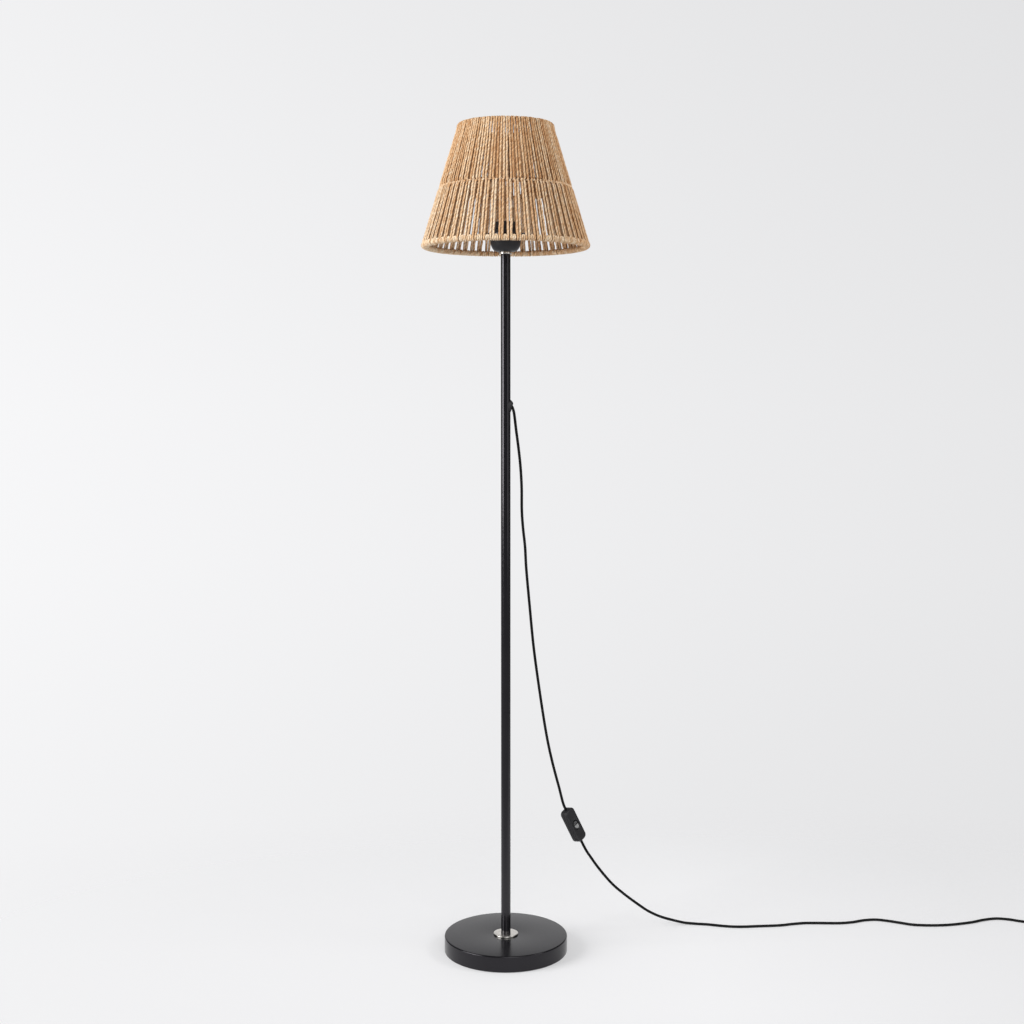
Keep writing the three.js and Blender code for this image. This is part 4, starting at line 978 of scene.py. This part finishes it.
def switch_frame():
    along = Vector(SWITCH_ALONG)
    side = Vector((0, -1, 0)).cross(along).normalized()
    turn = Matrix((along, side, along.cross(side))).transposed()
    turn = turn @ Matrix.Rotation(math.radians(-45), 3, "X")
    return Matrix.Translation(Vector(SWITCH_PLACE) * MM) @ turn.to_4x4() @ Matrix.Scale(MM, 4)


def bar_row(inset, height):
    """A row of points round the case's outline, pulled in by an inset."""
    radius = max(SWITCH_CORNER - inset, 0.6)
    middle = np.array([SWITCH_LENGTH, SWITCH_WIDTH]) / 2 - inset - radius
    ring = oval(1, 1, SWITCH_STEPS, 0.5)
    return flat_row(middle * np.sign(ring) + radius * ring, height)


def oval_row(wide, tall, height):
    return flat_row(oval(wide, tall, SWITCH_STEPS, 0.5), height)


def case_rows(half, sign):
    """Rows from the case's seam over its rounded edge to its face."""
    rows = [(SWITCH_WALL, SEAM_HALF), (0.45, SEAM_HALF), (0, 0.6)]
    for angle in np.arange(7) / 6 * math.pi / 2:
        drop = SWITCH_ROUNDING - SWITCH_ROUNDING * math.sin(angle)
        rows.append((SWITCH_ROUNDING * (1 - math.cos(angle)), half - drop))
    return [bar_row(inset, sign * height) for inset, height in rows + [(4.2, half)]]


def cylinder(name, radius, low, high, axis="Z", sides=32, place=(0, 0, 0)):
    """A plain cutter for carve()."""
    rows = [flat_row(oval(radius, radius, sides), height) + place for height in (low, high)]
    if axis == "X":
        rows = [np.roll(row, 1, axis=1) for row in rows]
    return stacked(name, rows, False)


def make_switch():
    half = SWITCH_THICKNESS / 2
    inside = half - SWITCH_WALL
    wide, tall = ROCKER_OPENING
    front_rows = case_rows(half, 1)
    for more, drop in ((1.6, 0), (1.1, 0.12), (0.5, 0.45), (0, 1.0), (0, SWITCH_WALL)):
        front_rows.append(oval_row(wide + more, tall + more, half - drop))
    front_rows += [bar_row(SWITCH_WALL + 2, inside), bar_row(SWITCH_WALL, inside - 1.5)]
    back_rows = case_rows(half, -1) + [oval_row(8, 4, -half), oval_row(8, 4, -inside)]
    back_rows += [bar_row(SWITCH_WALL + 2, -inside), bar_row(SWITCH_WALL, -inside + 1.5)]
    front = stacked("switch_case_front", front_rows)
    back = stacked("switch_case_back", back_rows)
    fill_rows = [oval_row(8.2, 4.2, -half), oval_row(8.2, 4.2, -inside)]
    carve(back, stacked("back_fill", fill_rows, False), "UNION")
    for thing in (front, back):
        carve(thing, cylinder("hole", CORD_RADIUS + 0.4, -40, 40, "X"))
    for side in (-1, 1):
        place = side * np.array(SCREW_PLACE)
        carve(back, cylinder("head", SCREW_HEAD, -half - 1, -half + 2.2, place=place))
        carve(back, cylinder("shaft", SCREW_SHAFT, -half + 2, -inside + 1, place=place))
    for thing, node in ((front, "switch_front"), (back, "switch_back")):
        thing.data.transform(switch_frame())
        smooth_by_angle(thing, 32)
        switch_parts.append(settle_for(thing, node))


def rocker_top(x):
    """The rocker's pressed face is a shallow hollow with both ends raised."""
    share = np.abs(x) / ROCKER_HALF[0]
    return 1.65 + 3.0 * np.sqrt(share**2 + 0.008)


def rocker_row(wide, tall, drop):
    row = oval_row(wide, tall, 0)
    row[:, 2] = rocker_top(row[:, 0]) - drop
    return row


def make_rocker():
    """Below its pressed face the rocker has a skirt that fills the opening in the case."""
    wide, tall = ROCKER_HALF
    rows = [oval_row(4.4, 4, -2.9), oval_row(6.4, 5.4, -1.7)]
    for inset, height in ((0.3, -0.9), (0, -0.6), (0, 0.4), (0.4, 0.7)):
        rows.append(oval_row(SKIRT_HALF[0] - inset, SKIRT_HALF[1] - inset, height))
    rows += [oval_row(wide, tall, 0.9), oval_row(wide, tall, 2.2)]
    for inset, drop in ((0, 0.95), (0.12, 0.45), (0.42, 0.12), (0.9, 0)):
        rows.append(rocker_row(wide - inset, tall - inset, drop))
    for share in (0.8, 0.62, 0.44, 0.28, 0.14, 0.04):
        rows.append(rocker_row(wide * share, tall * share, 0))
    rocker = stacked("switch_key", rows, False, 45)
    pressed = Matrix.Translation((0, 0, ROCKER_PIVOT)) @ Matrix.Rotation(ROCKER_REST, 4, "Y")
    rocker.data.transform(switch_frame() @ pressed)
    switch_parts.append(settle_for(rocker, "switch_rocker"))


# The plug, lying flat and pointing to the front, with its cord coming in from the back
PLUG_END = coil_points(2)[-1] - (0, CORD_GAP, 0)
PLUG_RELIEF = 26
PLUG_LENGTH = 34
PLUG_HALF = (17, 8.1)
PLUG_POWER = 4.5
PIN_SPACING = 18.6
PIN_LENGTH = 19
PIN_DEPTH = 9
PIN_RADIUS = 2
RELIEF_RADII = (3.7, 6.4)
PLUG_STEPS = 64


def plug_row(along, wide, tall, power):
    """A row round the plug, which goes from an oval to a rounded box as the power rises."""
    angles = even_angles(PLUG_STEPS)
    c, s = np.cos(angles), np.sin(angles)
    size = (np.abs(c) ** power + np.abs(s) ** power) ** (-1 / power)
    return np.stack([wide * size * c, np.full(PLUG_STEPS, -along), tall * size * s], 1)


def make_plug():
    wide, tall = PLUG_HALF
    thin, thick = RELIEF_RADII
    rows = [plug_row(0, 3.0, 3.0, 2)]
    for along in np.arange(0.4, PLUG_RELIEF - 0.5, 0.5):
        groove = 0.55 if 4 < along < 22 and (along - 4) % 3 < 1.1 else 0
        radius = thin + (thick - thin) * along / PLUG_RELIEF - groove
        rows.append(plug_row(along, radius, radius, 2))
    for values in (
        (25.7, 6.4, 6.4, 2), (26.3, 7.2, 6.5, 2.2), (28, 9.6, 7.0, 2.8), (31, 12.4, 7.6, 3.4),
        (34.5, 14.9, 7.95, 4), (38, 16.5, tall, PLUG_POWER), (41, wide, tall, PLUG_POWER),
    ):
        rows.append(plug_row(*values))
    for start in (42, 44.6, 47.2, 49.8):
        for offset, depth in ((0, 0), (0.4, 0.55), (1.3, 0.55), (1.7, 0)):
            rows.append(plug_row(start + offset, wide - depth * 0.6, tall - depth, PLUG_POWER))
    end = PLUG_RELIEF + PLUG_LENGTH
    for inset, back in ((0, 2.2), (0.3, 1.1), (1.0, 0.3), (2.1, 0)):
        rows.append(plug_row(end - back, wide - inset, tall - inset, PLUG_POWER))
    body = stacked("plug_grip", rows, False, 40)
    upright = Matrix.Rotation(math.radians(90), 4, "X")
    for side in (-1, 1):
        hole = cylinder("pin_hole", 2.25, -10, 10)
        hole.data.transform(Matrix.Translation((side * PIN_SPACING / 2, -end, 0)) @ upright)
        carve(body, hole)
    place = Matrix.Translation(Vector(PLUG_END) * MM)
    body.data.transform(place @ Matrix.Scale(MM, 4))
    smooth_by_angle(body, 32)
    length = PIN_LENGTH + PIN_DEPTH
    outline = [(0.02, 0, 0), (PIN_RADIUS, 0, 0.3), (PIN_RADIUS, length, 1.4), (0.02, length, 0)]
    for number, side in ((1, -1), (2, 1)):
        pin = lathe(f"contact_pin_{number}", outline, 32)
        move = Matrix.Translation(Vector((side * PIN_SPACING / 2, PIN_DEPTH - end, 0)) * MM)
        pin.data.transform(place @ move @ upright)
        settle_for(pin, f"plug_pin_{number}")
    settle_for(body, "plug_body")


# The grommet in the pole's wall: an oval cap that rises to a peak above the cord
POLE_RADIUS = 8.75
GROMMET_HALF = (6.6, 11.3)
GROMMET_PEAK = 4.9
GROMMET_BACK = 2.9
GROMMET_DROP = 2.7
GROMMET_STEPS = 72
NECK_HALF = (4.4, 6.3)


def upright_oval(out, wide, tall, lift):
    """A row of points round an oval that faces out along X."""
    ring = oval(wide, tall, GROMMET_STEPS, 0.5) + (0, lift)
    return np.column_stack([np.full(GROMMET_STEPS, out), ring])


def swept(name, path, radius, sides=28):
    """A plain round cutter along a path."""
    ring = oval(radius, radius, sides)
    rows = []
    for point, tangent in zip(path, unit(np.gradient(path, axis=0))):
        across = unit(np.cross(tangent, (0, 1, 0)))
        rows.append(point + ring @ np.array([across, np.cross(tangent, across)]))
    return stacked(name, rows, False)


def make_grommet():
    wide, tall = GROMMET_HALF
    rows = [upright_oval(-GROMMET_BACK, wide, tall, 0)]
    for out in (0, 0.5, 1, 1.6, 2.3, 3.0, 3.7, 4.3, 4.7, GROMMET_PEAK):
        low = 1 - 0.93 * (out / GROMMET_PEAK) ** 1.15
        narrow = math.sqrt(1 - 0.98 * (out / GROMMET_PEAK) ** 2.2)
        rows.append(upright_oval(out, wide * narrow, tall * low, 1.05 * out))
    cap = stacked("cord_cap", rows, False, 42)
    cap.data.transform(Matrix.Translation((POLE_RADIUS, 0, -GROMMET_DROP)))
    carve(cap, cylinder("wall", POLE_RADIUS + 0.05, -20, 20, sides=96))
    neck_rows = [upright_oval(out, *NECK_HALF, 0) for out in (5.9, POLE_RADIUS + 1)]
    carve(cap, stacked("neck", neck_rows, False), "UNION")
    cap.data.transform(Matrix.Translation((0, 0, EXIT_HEIGHT)) @ Matrix.Rotation(EXIT_TURN, 4, "Z"))
    outside = path_one[path_one[:, 2] > 0.984][::3] / MM
    path = np.vstack([on_exit_axis(-8), on_exit_axis(-4), outside])
    carve(cap, swept("bore", path, CORD_RADIUS + 0.25))
    cap.data.transform(Matrix.Scale(MM, 4))
    smooth_by_angle(cap, 42)
    settle_for(cap, "cord_grommet")


def soften_cad():
    """Smooth shading for the CAD nodes that stay, with their sharp edges kept."""
    tree = bpy.data.node_groups.new("soften", "GeometryNodeTree")
    for direction in ("INPUT", "OUTPUT"):
        tree.interface.new_socket("Geometry", in_out=direction, socket_type="NodeSocketGeometry")
    start, stop = tree.nodes.new("NodeGroupInput"), tree.nodes.new("NodeGroupOutput")
    merge = tree.nodes.new("GeometryNodeMergeByDistance")
    merge.inputs["Distance"].default_value = 2e-6
    edge = tree.nodes.new("GeometryNodeInputMeshEdgeAngle")
    compare = tree.nodes.new("FunctionNodeCompare")
    compare.data_type, compare.operation = "FLOAT", "GREATER_THAN"
    compare.inputs[1].default_value = math.radians(36)
    normal = tree.nodes.new("GeometryNodeSetMeshNormal")
    normal.mode = "SHARPNESS"
    tree.links.new(start.outputs[0], merge.inputs["Geometry"])
    tree.links.new(merge.outputs["Geometry"], normal.inputs["Mesh"])
    tree.links.new(edge.outputs["Unsigned Angle"], compare.inputs[0])
    tree.links.new(compare.outputs[0], normal.inputs["Edge Sharpness"])
    tree.links.new(normal.outputs["Mesh"], stop.inputs[0])
    for thing in frame["nodes"].values():
        thing.modifiers.new("soften", "NODES").node_group = tree


SWITCH_INSIDE = ("pin", "contact", "screw_1", "screw_2", "lead_1", "lead_2")
switch_parts = [frame["nodes"]["switch_" + label] for label in SWITCH_INSIDE]
make_foot()
make_grommet()
make_lampholder()
make_wire_rings()
make_switch()
make_rocker()
make_plug()
soften_cad()

# The studio. Pairs of numbers are strengths from the left of the picture to its right
FLOOR_COLOR = (0.64, 0.64, 0.647)
BACKGROUND_WHITE = (1, 1, 1.012, 1)
FLOOR_RADIUS = 6
FLOOR_SQUEEZE = (0.5, 1, 1)
FLOOR_SHIFT = (-0.17, -0.03, 0)
FLOOR_FADE = (0.25, 0.95)
FLOOR_GLOW = (0.265, 0.355)
FLOOR_BOUNCE = 0.8
WALL_GLOW = (0.93, 0.80)
ROOM_SHINE = 0.07
FLOOR_SHINE = 0.5
WALL_SHINE = 0.85
FLOOR_LIGHT = 0.62
ROOM_LIGHT = 0.18
WALL_LIGHT = 0.42
# Each lamp's name, place, aim, width, height and power
AREA_LAMPS = (
    ("key", (-4.15, -1.75, 2.2), (0, 0, 1.35), 2.85, 3.6, 226),
    ("fill", (2.9, -2.1, 1.7), (0, 0, 1.2), 1.7, 2.8, 17),
    ("above", (2.3, -0.5, 2.2), (0.13, 0.04, 0.23), 0.9, 0.9, 13),
)
FRONT_PLACE = (0.9, -4.2, 2.3)
FRONT_STRENGTH = 1.1
FRONT_ANGLE = math.radians(40)


def make_floor():
    """A pale floor that fades into the background far from the lamp, and keeps the lamp's shadow."""
    look = shader("floor", FLOOR_COLOR, 0.85, Specular_IOR_Level=0.1)
    path = look.node("LightPath").outputs
    seen = look.number("MAXIMUM", path["Is Camera Ray"], path["Is Glossy Ray"])
    seen = look.number("MAXIMUM", seen, path["Is Transmission Ray"])
    across = look.node("SeparateXYZ", {0: look.place}).outputs["X"]
    strength = look.spread(across, *FLOOR_GLOW, -1, 1)
    strength = look.number("SUBTRACT", strength, look.spread(across, 0, 0.09, 0.35, 0.95))
    share = look.number("MULTIPLY_ADD", seen, 1 - FLOOR_BOUNCE, FLOOR_BOUNCE)
    strength = look.number("MULTIPLY", share, strength)
    glow = look.node("Emission", {"Color": BACKGROUND_WHITE, "Strength": strength})
    lit = look.node("AddShader", {0: look.surface.outputs[0], 1: glow.outputs[0]})
    squeeze = {0: look.place, 1: FLOOR_SQUEEZE, 2: FLOOR_SHIFT}
    squeezed = look.node("VectorMath", squeeze, operation="MULTIPLY_ADD").outputs["Vector"]
    distance = look.node("VectorMath", {0: squeezed}, operation="LENGTH").outputs["Value"]
    fade = look.spread(distance, 0, 1, *FLOOR_FADE, "SMOOTHSTEP")
    clear = look.node("BsdfTransparent")
    mixed = look.node("MixShader", {0: fade, 1: lit.outputs[0], 2: clear.outputs[0]})
    look.set(look.tree.nodes["Material Output"], "Surface", mixed.outputs[0])
    mesh = bpy.data.meshes.new("floor")
    rim = flat_row(oval(FLOOR_RADIUS, FLOOR_RADIUS, 96), 0)
    mesh.from_pydata([tuple(point) for point in rim], [], [tuple(range(96))])
    mesh.materials.append(look.owner)
    link("floor", mesh)


def add_lamp(name, kind, place, target, power):
    data = bpy.data.lights.new(name, kind)
    data.energy = power
    light = link(name, data)
    light.location = place
    light.rotation_euler = (Vector(target) - Vector(place)).to_track_quat("-Z", "Y").to_euler()
    return light


def make_lights():
    for name, place, target, wide, tall, power in AREA_LAMPS:
        light = add_lamp(name, "AREA", place, target, power)
        light.data.shape = "RECTANGLE"
        light.data.size, light.data.size_y = wide, tall
        light.visible_camera = False
    add_lamp("front", "SUN", FRONT_PLACE, (0, 0, 0), FRONT_STRENGTH).data.angle = FRONT_ANGLE


def make_world():
    """Light from all round, a pale wall behind the lamp and a darker room in front of it."""
    world = bpy.data.worlds.new("studio")
    look = Look(world, "Background", "Generated")
    parts = look.node("SeparateXYZ", {0: look.place}).outputs
    back = look.spread(parts["Y"], 0, 1, -0.3, 0.5, "SMOOTHSTEP")
    lit = look.spread(parts["Y"], 0, 1, 0.72, 0.93, "SMOOTHSTEP")
    level = look.number("ABSOLUTE", look.number("ADD", parts["Z"], 0.06))
    dim = look.spread(level, 1, 0.945, 0.05, 0.33)
    wall = look.number("MULTIPLY", look.spread(parts["X"], *WALL_GLOW, -0.34, 0.34), dim)
    shine = look.spread(parts["Z"], ROOM_SHINE, FLOOR_SHINE, -0.06, -0.3)
    shine = look.blend(lit, shine, WALL_SHINE)
    under = look.spread(parts["Z"], FLOOR_LIGHT, 0, -0.25, 0.02)
    light = look.number("MAXIMUM", look.blend(back, ROOM_LIGHT, WALL_LIGHT), under)
    path = look.node("LightPath").outputs
    seen = look.number("MAXIMUM", path["Is Camera Ray"], path["Is Transmission Ray"])
    strength = look.blend(seen, look.blend(path["Is Glossy Ray"], light, shine), wall)
    look.coat(Color=BACKGROUND_WHITE, Strength=strength)
    bpy.context.scene.world = world


make_floor()
make_lights()
make_world()
bpy.context.scene.view_settings.view_transform = "Standard"
